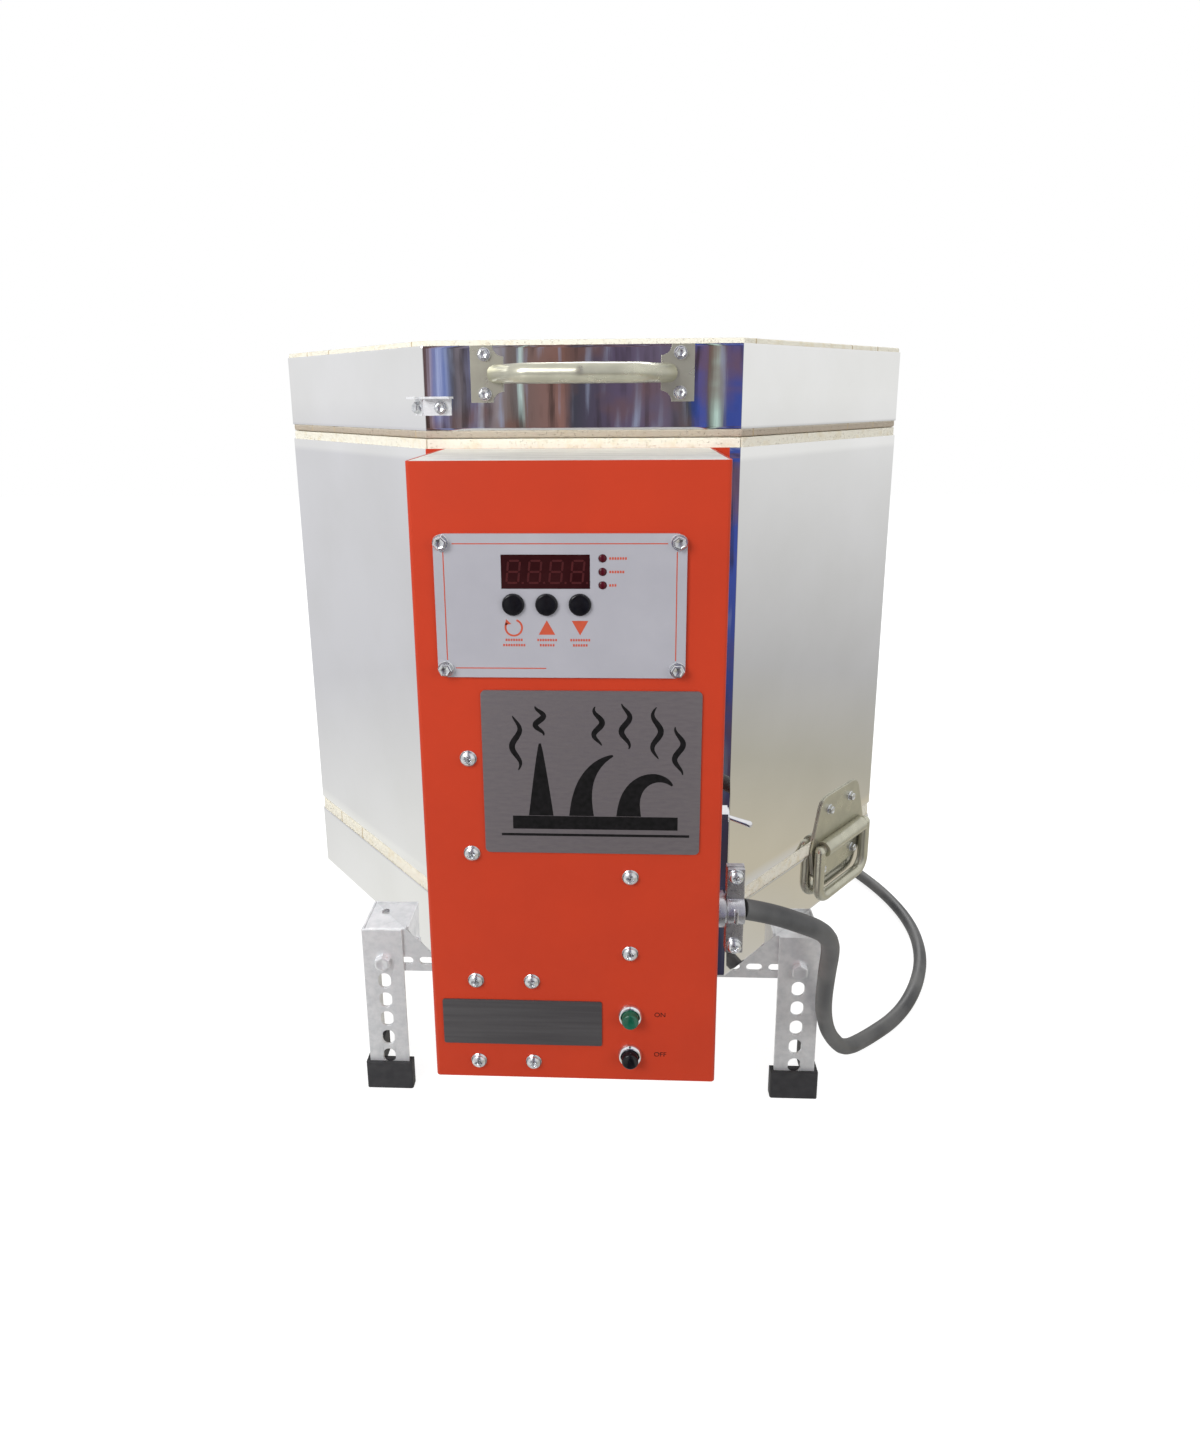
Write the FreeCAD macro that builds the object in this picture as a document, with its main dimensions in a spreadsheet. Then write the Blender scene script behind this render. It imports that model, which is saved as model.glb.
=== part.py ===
import FreeCAD, Part
import math
import os
import re

import Sketcher
from FreeCAD import Placement, Rotation, Vector

# Top-loading electric kiln: an octagonal firebrick chamber in a stainless jacket, on a
# slotted-angle stand, with a sheet-steel control box on its front face.
# Millimetres, +Z up, the floor is z = 0. The front, with the control box, faces -Y.
# Shapes are drawn about the chamber's upright axis, and every piece is then moved along Y
# by kiln_y, so that the origin lies under the middle of the whole kiln.

SIZES = {
    # firebrick
    "across_flats": 508.0,
    "brick_thick": 63.5,
    "course_high": 114.3,
    "slab_thick": 63.5,
    "lid_thick": 63.5,
    "lid_gap": 0.4,
    "mortar": 0.6,
    "groove_deep": 14.0,
    "groove_high": 13.0,
    "groove_first": 28.6,
    "groove_pitch": 57.1,
    # stainless skins and bands
    "skin": 0.8,
    "bend_radius": 4.0,
    "base_band_high": 54.0,
    "jacket_lift": 2.5,
    "jacket_drop": 6.4,
    "lid_band_lift": 5.1,
    "lid_band_high": 55.0,
    "seam_wide": 24.0,
    "seam_thick": 1.2,
    "seam_inset": 4.0,
    "seam_screw_inset": 14.0,
    # heating elements and the thermocouple
    "coil_radius": 4.8,
    "coil_seat": 0.3,
    "coil_bend": 14.0,
    "tail_radius": 1.6,
    "tail_spread": 44.0,
    "sleeve_radius": 4.0,
    "sleeve_bore": 1.7,
    "sleeve_out": 12.0,
    "sleeve_gap": 0.1,
    "terminal_radius": 3.2,
    "terminal_long": 9.0,
    "probe_radius": 4.0,
    "probe_reach": 25.0,
    "probe_block_wide": 36.0,
    "probe_block_high": 18.0,
    "probe_block_deep": 16.0,
    # stand
    "stand_high": 152.4,
    "angle_thick": 2.0,
    "angle_face": 34.0,
    "angle_side": 38.0,
    "rail_high": 40.0,
    "stand_inset_x": 64.0,
    "stand_inset_y": 45.0,
    "stand_gap": 0.3,
    "slot_wide": 6.6,
    "slot_long": 13.0,
    "slot_count": 20.0,
    "leg_hole_pitch": 18.5,
    "leg_hole_long": 14.0,
    "leg_hole_wide": 10.5,
    "stand_bolt_drop": 30.0,
    "bolt_radius": 3.0,
    "bolt_head_wide": 12.0,
    "bolt_head_high": 4.2,
    "bolt_out": 5.0,
    "cap_high": 25.0,
    "cap_wall": 3.0,
    "cap_floor": 3.0,
    "cap_gap": 0.1,
    # control box
    "box_x": -4.0,
    "box_wide": 179.0,
    "box_deep": 103.3,
    "box_low": 157.0,
    "box_high": 552.4,
    "box_sheet": 1.2,
    "box_bend": 2.5,
    "back_plate_wide": 203.0,
    "back_plate_top": 552.4,
    "back_plate_thick": 1.2,
    "back_screw_inset": 5.5,
    "back_screw_end": 45.0,
    "top_fit": 0.1,
    # controller
    "panel_x": -4.9,
    "panel_z": 470.5,
    "panel_wide": 141.4,
    "panel_high": 83.6,
    "panel_thick": 1.6,
    "panel_corner": 6.0,
    "panel_screw_x": 66.2,
    "panel_screw_z": 36.8,
    "panel_hole_wide": 112.0,
    "panel_hole_high": 62.0,
    "window_x": -8.0,
    "window_z": 20.3,
    "window_wide": 49.6,
    "window_high": 19.4,
    "window_fit": 0.1,
    "window_proud": 0.2,
    "key_z": 1.4,
    "key_first_x": -26.5,
    "key_pitch": 18.8,
    "key_radius": 6.25,
    "key_fit": 0.15,
    "key_proud": 2.2,
    "key_flange": 1.0,
    "key_flange_wide": 0.9,
    "key_travel": 1.5,
    "key_stem": 1.8,
    "switch_wide": 6.0,
    "switch_high": 4.3,
    "lamp_x": 23.9,
    "lamp_first_z": 12.6,
    "lamp_pitch": 7.65,
    "lamp_radius": 2.25,
    "lamp_proud": 0.8,
    "board_back": 14.0,
    "board_wide": 104.0,
    "board_high": 56.0,
    "board_thick": 1.6,
    "post_x": 47.0,
    "post_z": 23.0,
    "post_radius": 3.0,
    "chip_wide": 22.0,
    "chip_high": 10.0,
    "chip_thick": 3.0,
    # plates on the box
    "badge_x": 12.0,
    "badge_z": 369.0,
    "badge_wide": 128.0,
    "badge_high": 103.0,
    "badge_thick": 1.0,
    "badge_corner": 3.0,
    "label_x": -32.7,
    "label_z": 198.2,
    "label_wide": 100.7,
    "label_high": 32.0,
    "label_thick": 0.8,
    "label_corner": 1.5,
    # screws
    "pan_radius": 4.2,
    "pan_top_radius": 2.6,
    "pan_high": 2.6,
    "washer_radius": 4.9,
    "washer_thick": 0.8,
    "screw_radius": 2.0,
    "screw_long": 8.0,
    "hex_wide": 6.4,
    "hex_high": 2.6,
    "hex_flange_radius": 4.4,
    "hex_flange_thick": 0.8,
    "plate_screw_wide": 7.0,
    "plate_screw_high": 2.8,
    # push buttons under the label
    "push_x": 35.4,
    "start_z": 204.9,
    "stop_z": 175.9,
    "bezel_radius": 7.8,
    "bezel_proud": 3.0,
    "push_body_radius": 6.4,
    "push_body_deep": 26.0,
    "push_fit": 0.1,
    "push_cap_radius": 5.2,
    "push_cap_proud": 4.0,
    "push_cap_inside": 5.0,
    "push_travel": 2.5,
    "push_nut_wide": 17.0,
    "push_nut_thick": 3.0,
    # toggle switch
    "toggle_y": -330.0,
    "toggle_z": 328.4,
    "toggle_nut_wide": 11.0,
    "toggle_nut_thick": 6.6,
    "bushing_radius": 4.4,
    "bushing_out": 7.6,
    "bushing_fit": 0.05,
    "bushing_mouth": 3.9,
    "toggle_ball": 2.6,
    "toggle_pivot_in": 3.0,
    "lever_neck": 1.2,
    "lever_end": 2.1,
    "lever_long": 21.0,
    "lever_tilt": 20.0,
    "toggle_body_deep": 20.0,
    "toggle_body_wide": 13.0,
    "toggle_body_high": 22.0,
    # switchgear inside the box
    "contactor_x": -43.5,
    "contactor_z": 198.6,
    "contactor_wide": 45.0,
    "contactor_high": 74.0,
    "contactor_deep": 58.0,
    "contactor_cheek": 4.0,
    "contactor_notch": 12.25,
    "relay_x": -60.6,
    "relay_z": 347.0,
    "relay_wide": 30.0,
    "relay_high": 74.0,
    "relay_deep": 26.0,
    "transformer_x": 35.2,
    "transformer_z": 275.2,
    "transformer_wide": 46.0,
    "transformer_high": 66.0,
    "transformer_deep": 38.0,
    "winding_over": 7.0,
    "block_x": 40.0,
    "block_z": 330.0,
    "block_wide": 60.0,
    "block_high": 22.0,
    "block_deep": 18.0,
    # cord and its clamp
    "cord_radius": 6.25,
    "clamp_y": -344.0,
    "clamp_z": 272.0,
    "clamp_fit": 0.15,
    "clamp_base_radius": 10.8,
    "clamp_base_thick": 4.0,
    "clamp_out": 16.5,
    "jaw_long": 11.0,
    "jaw_radius": 9.0,
    "jaw_split": 0.6,
    "ear_reach": 29.0,
    "ear_thick": 4.0,
    "ear_screw": 24.0,
    "clamp_nut_radius": 11.5,
    "clamp_nut_thick": 3.0,
    "tail_inside": 24.0,
    "coil_centre_x": 120.0,
    "coil_centre_y": 305.5,
    "coil_mid_radius": 62.5,
    "coil_slack": 0.25,
    "plug_x": -38.0,
    "plug_y": 254.0,
    "plug_z": 21.0,
    "relief_long": 28.0,
    "relief_end": 10.0,
    "plug_radius": 20.5,
    "plug_long": 50.0,
    "blade_long": 20.0,
    "blade_wide": 6.4,
    "blade_thick": 1.6,
    "blade_spread": 9.5,
    "earth_pin_radius": 2.4,
    # lid handle
    "foot_x": 62.4,
    "foot_z": 600.8,
    "foot_wide": 21.6,
    "foot_high": 36.6,
    "foot_thick": 2.0,
    "foot_scallop": 7.0,
    "foot_screw_x": 64.0,
    "foot_screw_z": 12.6,
    "grip_radius": 6.0,
    "grip_out": 35.0,
    "grip_half": 38.0,
    "grip_rise": 12.0,
    "grip_bend": 14.0,
    # band clip
    "clip_long": 18.4,
    "clip_turn": 8.0,
    "clip_high": 12.4,
    "clip_z": 580.5,
    "clip_thick": 1.5,
    "clip_flange": 8.0,
    "clip_screw_inset": 11.4,
    "clip_turn_screw": 4.2,
    # lid hinge
    "hinge_out": 16.0,
    "hinge_up": 5.0,
    "hinge_rod_radius": 3.0,
    "hinge_rod_fit": 0.06,
    "hinge_eye_radius": 6.5,
    "hinge_plate_thick": 2.0,
    "hinge_plate_wide": 156.0,
    "hinge_plate_high": 50.0,
    "hinge_plate_drop": 14.0,
    "hinge_leaf_wide": 140.0,
    "hinge_leaf_high": 42.0,
    "hinge_leaf_lift": 3.0,
    "cheek_thick": 5.0,
    "cheek_inset": 6.0,
    "cheek_foot": 5.0,
    "cheek_x": 66.0,
    "leaf_cheek_x": 58.0,
    "hinge_screw_x": 44.0,
    # carry handles
    "carry_u": 50.0,
    "carry_pivot_z": 209.4,
    "carry_plate_thick": 1.5,
    "carry_top": 43.0,
    "carry_bottom": 31.5,
    "carry_wide": 85.2,
    "carry_top_wide": 58.0,
    "carry_corner": 12.0,
    "carry_barrel_radius": 6.2,
    "carry_barrel_wide": 62.0,
    "carry_bore": 3.55,
    "carry_pin": 3.5,
    "carry_pin_long": 14.0,
    "bail_radius": 4.5,
    "bail_wide": 74.0,
    "bail_drop": 45.0,
    "bail_corner": 12.0,
    "carry_screw_high_x": 17.0,
    "carry_screw_high_z": 30.0,
    "carry_screw_low_x": 25.0,
    "carry_screw_low_z": 22.5,
}

# Places that follow from the sizes, each a formula in the sizes and the places above it.
PLACES = {
    "flat": "across_flats / 2",
    "skin_face": "flat + skin",
    "corner_x": "flat * tan(22.5)",
    "chamber_flat": "flat - brick_thick",
    "leg_reach_x": "flat - stand_inset_x",
    "leg_reach_y": "flat - stand_inset_y",
    "slab_top": "stand_high + slab_thick",
    "wall_top": "slab_top + 3 * course_high",
    "lid_low": "wall_top + lid_gap",
    "lid_top": "lid_low + lid_thick",
    "jacket_low": "slab_top + jacket_lift",
    "jacket_top": "wall_top - jacket_drop",
    "lid_band_low": "lid_low + lid_band_lift",
    "box_face": "0 - flat - box_deep",
    "plate_back": "0 - skin_face",
    "plate_face": "plate_back - back_plate_thick",
    "panel_face": "box_face - panel_thick",
    "box_inner_face": "box_face + box_sheet",
    "board_face": "box_face + board_back",
    "box_side": "box_wide / 2",
    "hinge_y": "skin_face + hinge_out",
    "hinge_z": "lid_low + hinge_up",
    "hinge_plate_top": "hinge_z - hinge_plate_drop",
    "front_reach": "0 - box_face + bezel_proud + push_cap_proud",
    "back_reach": "hinge_y + hinge_eye_radius",
    "kiln_y": "(front_reach - back_reach) / 2",
    "clamp_end": "box_side + clamp_out",
    "coil_flat": "chamber_flat + groove_deep - coil_radius - coil_seat",
    "bolt_x": "leg_reach_x - angle_face / 2",
    "bolt_y": "leg_reach_y - angle_side / 2",
    "bolt_z": "stand_high - stand_bolt_drop",
    "slot_pitch": "2 * bolt_x / (slot_count - 1)",
    "probe_z": "slab_top + 1.5 * course_high",
    "carry_face": "0 - skin_face",
    "carry_pin_y": "0 - skin_face - carry_barrel_radius - 0.1",
}

# The cord's way over the floor, about the kiln's axis, chosen by eye from the photograph.
CORD_ROUTE = [
    (102, -344, 272), (121, -338, 265), (141, -335, 256), (158, -325, 243), (169, -307, 220),
    (174, -283, 181), (180, -257, 130), (192, -226, 86), (206, -197, 48), (224, -176, 17),
    (251, -152, 6.5), (290, -124, 6.5), (322, -83, 6.5), (344, -36, 6.5), (351, 14, 6.5),
    (342, 64, 6.5), (322, 110, 6.5), (294, 152, 6.5), (258, 190, 6.5), (216, 220, 6.5),
    (168, 238, 6.5), (120, 243, 6.5),
]

# From the top of the coil down to the floor and up into the plug.
CORD_END_ROUTE = [
    (120, 243, 19.3), (86, 242.5, 18.8), (54, 245, 11), (22, 250, 9.5), (-8, 253, 15),
    (-38, 254, 21),
]

# Panel screws on the front of the box: across from its middle, and height above the floor.
PANEL_SCREWS = {
    "relay_upper": (-60.6, 377.8),
    "relay_lower": (-60.6, 316.1),
    "transformer_upper": (35.2, 301.4),
    "transformer_lower": (35.2, 249.1),
    "contactor_upper_left": (-61.3, 228.1),
    "contactor_upper_right": (-26.1, 228.1),
    "contactor_lower_left": (-61.3, 169.3),
    "contactor_lower_right": (-26.1, 169.3),
}

# Chips on the controller's board, from its middle.
CHIPS = [(-25, 0), (8, -8), (32, 10)]

COURSES = ["lower", "middle", "upper"]

TURN = {
    "up": Rotation(),
    "front": Rotation(Vector(1, 0, 0), 90),
    "back": Rotation(Vector(1, 0, 0), -90),
    "right": Rotation(Vector(0, 1, 0), 90),
    "left": Rotation(Vector(0, 1, 0), -90),
}

doc = FreeCAD.newDocument("ElectricKiln")
size_sheet = doc.addObject("Spreadsheet::Sheet", "sizes")
place_sheet = doc.addObject("Spreadsheet::Sheet", "places")
x_of = {}
y_of = {}
nodes = []


def formula(text):
    """The same text with the sheet's name before every size and place."""
    def spell(found):
        word = found.group()
        if word in SIZES:
            return "sizes." + word
        if word in PLACES:
            return "places." + word
        return word
    return re.sub(r"[a-z_]+", spell, str(text))


def fill_sheets():
    """Write the driving sizes as plain numbers, and the places as formulas."""
    for row, (name, value) in enumerate(SIZES.items(), 1):
        size_sheet.set(f"A{row}", name)
        size_sheet.set(f"B{row}", str(value))
        size_sheet.setAlias(f"B{row}", name)
    for row, (name, text) in enumerate(PLACES.items(), 1):
        place_sheet.set(f"A{row}", name)
        place_sheet.set(f"B{row}", "=" + formula(text).replace("places.", ""))
        place_sheet.setAlias(f"B{row}", name)
    doc.recompute()


def value(name):
    """The number that a size or a place has now."""
    sheet = size_sheet if name in SIZES else place_sheet
    return float(sheet.get(name))


def bind(thing, **texts):
    """Tie the named properties to formulas."""
    for name, text in texts.items():
        thing.setExpression(name, formula(text))
    return thing


def place(thing, x, y, z, turn=None):
    """Put a thing at a point given by three formulas, turned if asked."""
    if turn is not None:
        thing.Placement = Placement(Vector(), turn)
    for axis, text in zip("xyz", (x, y, z)):
        thing.setExpression(f"Placement.Base.{axis}", formula(text))
    x_of[thing.Name] = str(x)
    y_of[thing.Name] = str(y)
    return thing


def node(label, thing, across="0"):
    """Name a finished sub-part and move it from the kiln's axis to the row's origin.

    The pieces of the control box are also moved across, because it hangs a little left of the axis.
    """
    thing.Label = label
    thing.setExpression("Placement.Base.x", formula(x_of.get(thing.Name, "0") + " + " + across))
    thing.setExpression("Placement.Base.y", formula(y_of.get(thing.Name, "0") + " + kiln_y"))
    nodes.append(thing)
    return thing


def block(x, y, z, wide, deep, high):
    """A box from its lowest corner."""
    box = doc.addObject("Part::Box", "block")
    bind(box, Length=wide, Width=deep, Height=high)
    return place(box, x, y, z)


def rod(x, y, z, radius, length, towards="up"):
    """A round bar from one end."""
    bar = doc.addObject("Part::Cylinder", "rod")
    bind(bar, Radius=radius, Height=length)
    return place(bar, x, y, z, TURN[towards])


def taper(x, y, z, first, last, length, towards="up"):
    """A round bar that changes its radius on the way."""
    cone = doc.addObject("Part::Cone", "taper")
    bind(cone, Radius1=first, Radius2=last, Height=length)
    return place(cone, x, y, z, TURN[towards])


def hexagon(x, y, z, across, length, towards="up"):
    """A six-sided bar, given across its flats."""
    bar = doc.addObject("Part::Prism", "hexagon")
    bar.Polygon = 6
    bind(bar, Circumradius=f"({across}) / 2 / cos(30)", Height=length)
    return place(bar, x, y, z, TURN[towards])


def octagon(low, half_flat, high):
    """An upright octagonal prism about the kiln's axis, with a flat side to the front."""
    prism = doc.addObject("Part::Prism", "octagon")
    prism.Polygon = 8
    bind(prism, Circumradius=f"({half_flat}) / cos(22.5)", Height=high)
    return place(prism, "0", "0", low, Rotation(Vector(0, 0, 1), 22.5))


def group(*things):
    """Several separate solids that share one node."""
    bundle = doc.addObject("Part::Compound", "group")
    bundle.Links = list(things)
    return bundle


def join(*things):
    """One solid out of several that overlap."""
    fusion = doc.addObject("Part::MultiFuse", "join")
    fusion.Shapes = list(things)
    return fusion


def cut(base, *tools):
    """The base without the tools."""
    result = doc.addObject("Part::Cut", "cut")
    result.Base = base
    result.Tool = tools[0] if len(tools) == 1 else join(*tools)
    return result


def rounded(base, radius, chosen):
    """The base with the chosen edges rounded."""
    doc.recompute()
    result = doc.addObject("Part::Fillet", "rounded")
    result.Base = base
    edges = enumerate(base.Shape.Edges, 1)
    result.Edges = [(number, radius, radius) for number, edge in edges if chosen(edge)]
    return result


def is_upright(edge):
    """True for a straight edge that runs along Z."""
    first, last = edge.Vertexes[0].Point, edge.Vertexes[-1].Point
    return abs(abs((last - first).z) - edge.Length) < 1e-6 and edge.Length > 1


def skin_ring(low, high):
    """An octagonal skin round the firebrick, with rounded corners."""
    outer = rounded(octagon(low, "skin_face", high), value("bend_radius"), is_upright)
    return cut(outer, octagon(low, "flat", high))


def screw(x, y, z, towards, head, long="screw_long"):
    """A screw at a face, its head on the side that towards names.

    head is pan, hex or plate: a washered pan head, a flanged hexagon or a plate's small hexagon.
    """
    inwards = {"front": "back", "back": "front", "right": "left", "left": "right"}[towards]
    shank = rod(x, y, z, "screw_radius", long, inwards)
    if head == "pan":
        washer = rod(x, y, z, "washer_radius", "washer_thick", towards)
        crown = taper(x, y, z, "pan_radius", "pan_top_radius", "washer_thick + pan_high", towards)
        return join(shank, washer, crown)
    if head == "hex":
        flange = rod(x, y, z, "hex_flange_radius", "hex_flange_thick", towards)
        return join(shank, flange, hexagon(x, y, z, "hex_wide", "hex_flange_thick + hex_high", towards))
    return join(shank, hexagon(x, y, z, "plate_screw_wide", "plate_screw_high", towards))


def origin_of(body, role):
    """The body's own origin plane or axis with that role."""
    return next(feature for feature in body.Origin.OriginFeatures if feature.Role == role)


def sketch_on(body, role):
    """A sketch on one of the body's origin planes."""
    sketch = body.newObject("Sketcher::SketchObject", "sketch")
    sketch.AttachmentSupport = [(origin_of(body, role), "")]
    sketch.MapMode = "FlatFace"
    return sketch


def measure(sketch, kind, places, number, text):
    """Add one dimension and tie it to a formula."""
    index = sketch.addConstraint(Sketcher.Constraint(kind, *places, number))
    sketch.setExpression(f"Constraints[{index}]", formula(text))


def outline(sketch, corners):
    """A closed outline of straight lines, every corner measured from the sketch's origin."""
    count = len(corners)
    start = [Vector(math.cos(math.tau * i / count), math.sin(math.tau * i / count)) * 10 for i in range(count)]
    for i in range(count):
        sketch.addGeometry(Part.LineSegment(start[i], start[(i + 1) % count]))
    for i in range(count):
        sketch.addConstraint(Sketcher.Constraint("Coincident", i, 2, (i + 1) % count, 1))
    for i, (across, up) in enumerate(corners):
        measure(sketch, "DistanceX", (-1, 1, i, 1), start[i].x, across)
        measure(sketch, "DistanceY", (-1, 1, i, 1), start[i].y, up)


def circle(sketch, across, up, radius):
    """A circle in a sketch, its middle measured from the sketch's origin."""
    index = sketch.addGeometry(Part.Circle(Vector(1, 1, 0), Vector(0, 0, 1), 1))
    measure(sketch, "DistanceX", (-1, 1, index, 3), 1.0, across)
    measure(sketch, "DistanceY", (-1, 1, index, 3), 1.0, up)
    measure(sketch, "Radius", (index,), 1.0, radius)


def slot(sketch, across, up, long, wide, upright=False):
    """A round-ended slot in a sketch, about its middle."""
    normal = Vector(0, 0, 1)
    quarter = math.pi / 2
    turn = quarter if upright else 0
    along = Vector(math.cos(turn), math.sin(turn), 0)
    side = Vector(-math.sin(turn), math.cos(turn), 0)
    near, far = along * -5, along * 5
    first = sketch.addGeometry(Part.ArcOfCircle(Part.Circle(near, normal, 3), turn + quarter, turn + 3 * quarter))
    second = sketch.addGeometry(Part.ArcOfCircle(Part.Circle(far, normal, 3), turn - quarter, turn + quarter))
    third = sketch.addGeometry(Part.LineSegment(near + side * 3, far + side * 3))
    fourth = sketch.addGeometry(Part.LineSegment(near - side * 3, far - side * 3))
    ties = [(first, 1, third, 1), (first, 2, fourth, 1), (second, 1, fourth, 2), (second, 2, third, 2)]
    for tie in ties:
        sketch.addConstraint(Sketcher.Constraint("Tangent", *tie))
    sketch.addConstraint(Sketcher.Constraint("Equal", first, second))
    measure(sketch, "Radius", (first,), 3.0, f"({wide}) / 2")
    half = f"(({long}) - ({wide})) / 2"
    for arc, sign, middle in ((first, "-", near), (second, "+", far)):
        shift_x = "" if upright else f" {sign} {half}"
        shift_y = f" {sign} {half}" if upright else ""
        measure(sketch, "DistanceX", (-1, 1, arc, 3), middle.x, across + shift_x)
        measure(sketch, "DistanceY", (-1, 1, arc, 3), middle.y, up + shift_y)


def pad(body, sketch, length, midplane=False):
    """Raise the sketch into a solid."""
    feature = body.newObject("PartDesign::Pad", "pad")
    feature.Profile = sketch
    if midplane:
        feature.SideType = "Symmetric"
    bind(feature, Length=length)
    doc.recompute()
    return feature


def pocket(body, sketch):
    """Cut the sketch right through the solid, both ways from its plane."""
    feature = body.newObject("PartDesign::Pocket", "pocket")
    feature.Profile = sketch
    feature.Type = 1
    feature.SideType = "Symmetric"
    doc.recompute()
    return feature


def fillet(body, base, radius, chosen):
    """Round the chosen edges of the body's last solid."""
    feature = body.newObject("PartDesign::Fillet", "fillet")
    feature.Base = (base, [f"Edge{i}" for i, edge in enumerate(base.Shape.Edges, 1) if chosen(edge)])
    bind(feature, Radius=radius)
    doc.recompute()
    return feature


def along_y(edge):
    """True for a straight edge that runs along Y."""
    first, last = edge.Vertexes[0].Point, edge.Vertexes[-1].Point
    return abs(abs((last - first).y) - edge.Length) < 1e-6


def front_plate(wide, high, thick, corner, holes=(), windows=()):
    """A flat plate that stands in front of y = 0, with rounded corners and holes through it.

    holes are (across, up, radius), windows are (across, up, wide, high), from its middle.
    """
    body = doc.addObject("PartDesign::Body", "plate")
    sketch = sketch_on(body, "XZ_Plane")
    left, right = f"0 - ({wide}) / 2", f"({wide}) / 2"
    low, top = f"0 - ({high}) / 2", f"({high}) / 2"
    outline(sketch, [(left, low), (right, low), (right, top), (left, top)])
    base = pad(body, sketch, thick)
    fillet(body, base, corner, along_y)
    for across, up, radius in holes:
        opening = sketch_on(body, "XZ_Plane")
        circle(opening, across, up, radius)
        pocket(body, opening)
    for across, up, hole_wide, hole_high in windows:
        opening = sketch_on(body, "XZ_Plane")
        outline(opening, [
            (f"{across} - ({hole_wide}) / 2", f"{up} - ({hole_high}) / 2"),
            (f"{across} + ({hole_wide}) / 2", f"{up} - ({hole_high}) / 2"),
            (f"{across} + ({hole_wide}) / 2", f"{up} + ({hole_high}) / 2"),
            (f"{across} - ({hole_wide}) / 2", f"{up} + ({hole_high}) / 2"),
        ])
        pocket(body, opening)
    return body


def bent_path(points, radius=None):
    """Straight runs through the points, joined by tangent arcs.

    Each arc's radius is the one given, or 0.45 of the shorter run over the tangent of half the turn.
    Returns the wire, its length and the radii.
    """
    points = [Vector(*point) for point in points]
    edges, radii, start = [], [], points[0]
    for before, corner, after in zip(points, points[1:], points[2:]):
        arrive = (corner - before).normalize()
        leave = (after - corner).normalize()
        half_turn = arrive.getAngle(leave) / 2
        shorter = min((corner - before).Length, (after - corner).Length)
        bend = radius if radius else 0.45 * shorter / math.tan(half_turn)
        reach = bend * math.tan(half_turn)
        first = corner - arrive * reach
        last = corner + leave * reach
        middle = corner + (leave - arrive).normalize() * (bend / math.cos(half_turn) - bend)
        edges.append(Part.LineSegment(start, first).toShape())
        edges.append(Part.Arc(first, middle, last).toShape())
        radii.append(bend)
        start = last
    edges.append(Part.LineSegment(start, points[-1]).toShape())
    wire = Part.Wire(edges)
    return wire, wire.Length, radii


def tube_shape(points, radius, bend=None):
    """A round solid along a bent path."""
    wire, length, radii = bent_path(points, bend)
    start = Vector(*points[0])
    heading = Vector(*points[1]) - start
    section = Part.Wire([Part.Circle(start, heading, radius).toShape()])
    solid = wire.makePipeShell([section], True, False)
    return solid, length, radii


def feature_of(shape, name):
    """A document object that holds a shape made with Part's own functions."""
    feature = doc.addObject("Part::Feature", name)
    feature.Shape = shape
    return feature


fill_sheets()

# Firebrick: floor slab, three courses of eight mitred bricks, and the lid slab.
node("floor_slab", octagon("stand_high", "flat", "slab_thick"))


def mortar_joints(low):
    """Thin upright sheets through the axis that part a course into its eight bricks."""
    sheets = []
    for quarter in range(4):
        sheet = doc.addObject("Part::Box", "joint")
        bind(sheet, Length="across_flats * 1.2", Width="mortar", Height="course_high")
        turn = math.radians(22.5 + 45 * quarter)
        sheet.Placement = Placement(Vector(), Rotation(Vector(0, 0, 1), math.degrees(turn)))
        half_long = "across_flats * 0.6"
        place_x = f"{math.sin(turn):.9f} * mortar / 2 - {math.cos(turn):.9f} * {half_long}"
        place_y = f"0 - {math.cos(turn):.9f} * mortar / 2 - {math.sin(turn):.9f} * {half_long}"
        place(sheet, place_x, place_y, low)
        sheets.append(sheet)
    return sheets


tail_signs = ["0 - tail_spread / 2", "tail_spread / 2"]
for number, course in enumerate(COURSES):
    low = f"slab_top + {number} * course_high"
    openings = [octagon(low, "chamber_flat", "course_high")]
    for groove in range(2):
        middle = f"{low} + groove_first + {groove} * groove_pitch"
        openings.append(octagon(f"{middle} - groove_high / 2", "chamber_flat + groove_deep", "groove_high"))
        for tail in tail_signs:
            openings.append(rod(tail, "0 - chamber_flat", middle, "sleeve_radius + sleeve_gap",
                                "brick_thick + 1", "front"))
    if course == "middle":
        openings.append(rod("0", "0 - chamber_flat + 1", "probe_z", "probe_radius + sleeve_gap",
                            "brick_thick + 2", "front"))
    bricks = cut(octagon(low, "flat", "course_high"), *openings)
    node(f"brick_course_{course}", cut(bricks, *mortar_joints(low)))

node("lid_slab", octagon("lid_low", "flat", "lid_thick"))

# Stainless bands round the floor slab and the lid, and the jacket round the wall.
node("base_band", skin_ring("stand_high", "base_band_high"))
node("lid_band", skin_ring("lid_band_low", "lid_band_high"))

jacket_holes = []
for number in range(len(COURSES)):
    for groove in range(2):
        middle = f"slab_top + {number} * course_high + groove_first + {groove} * groove_pitch"
        for tail in tail_signs:
            jacket_holes.append(rod(tail, "0 - flat + 1", middle, "sleeve_radius + sleeve_gap",
                                    "skin + 2", "front"))
jacket_holes.append(rod("0", "0 - flat + 1", "probe_z", "probe_radius + sleeve_gap", "skin + 2", "front"))
jacket = skin_ring("jacket_low", "jacket_top - jacket_low")
node("jacket", cut(jacket, *jacket_holes))

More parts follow.
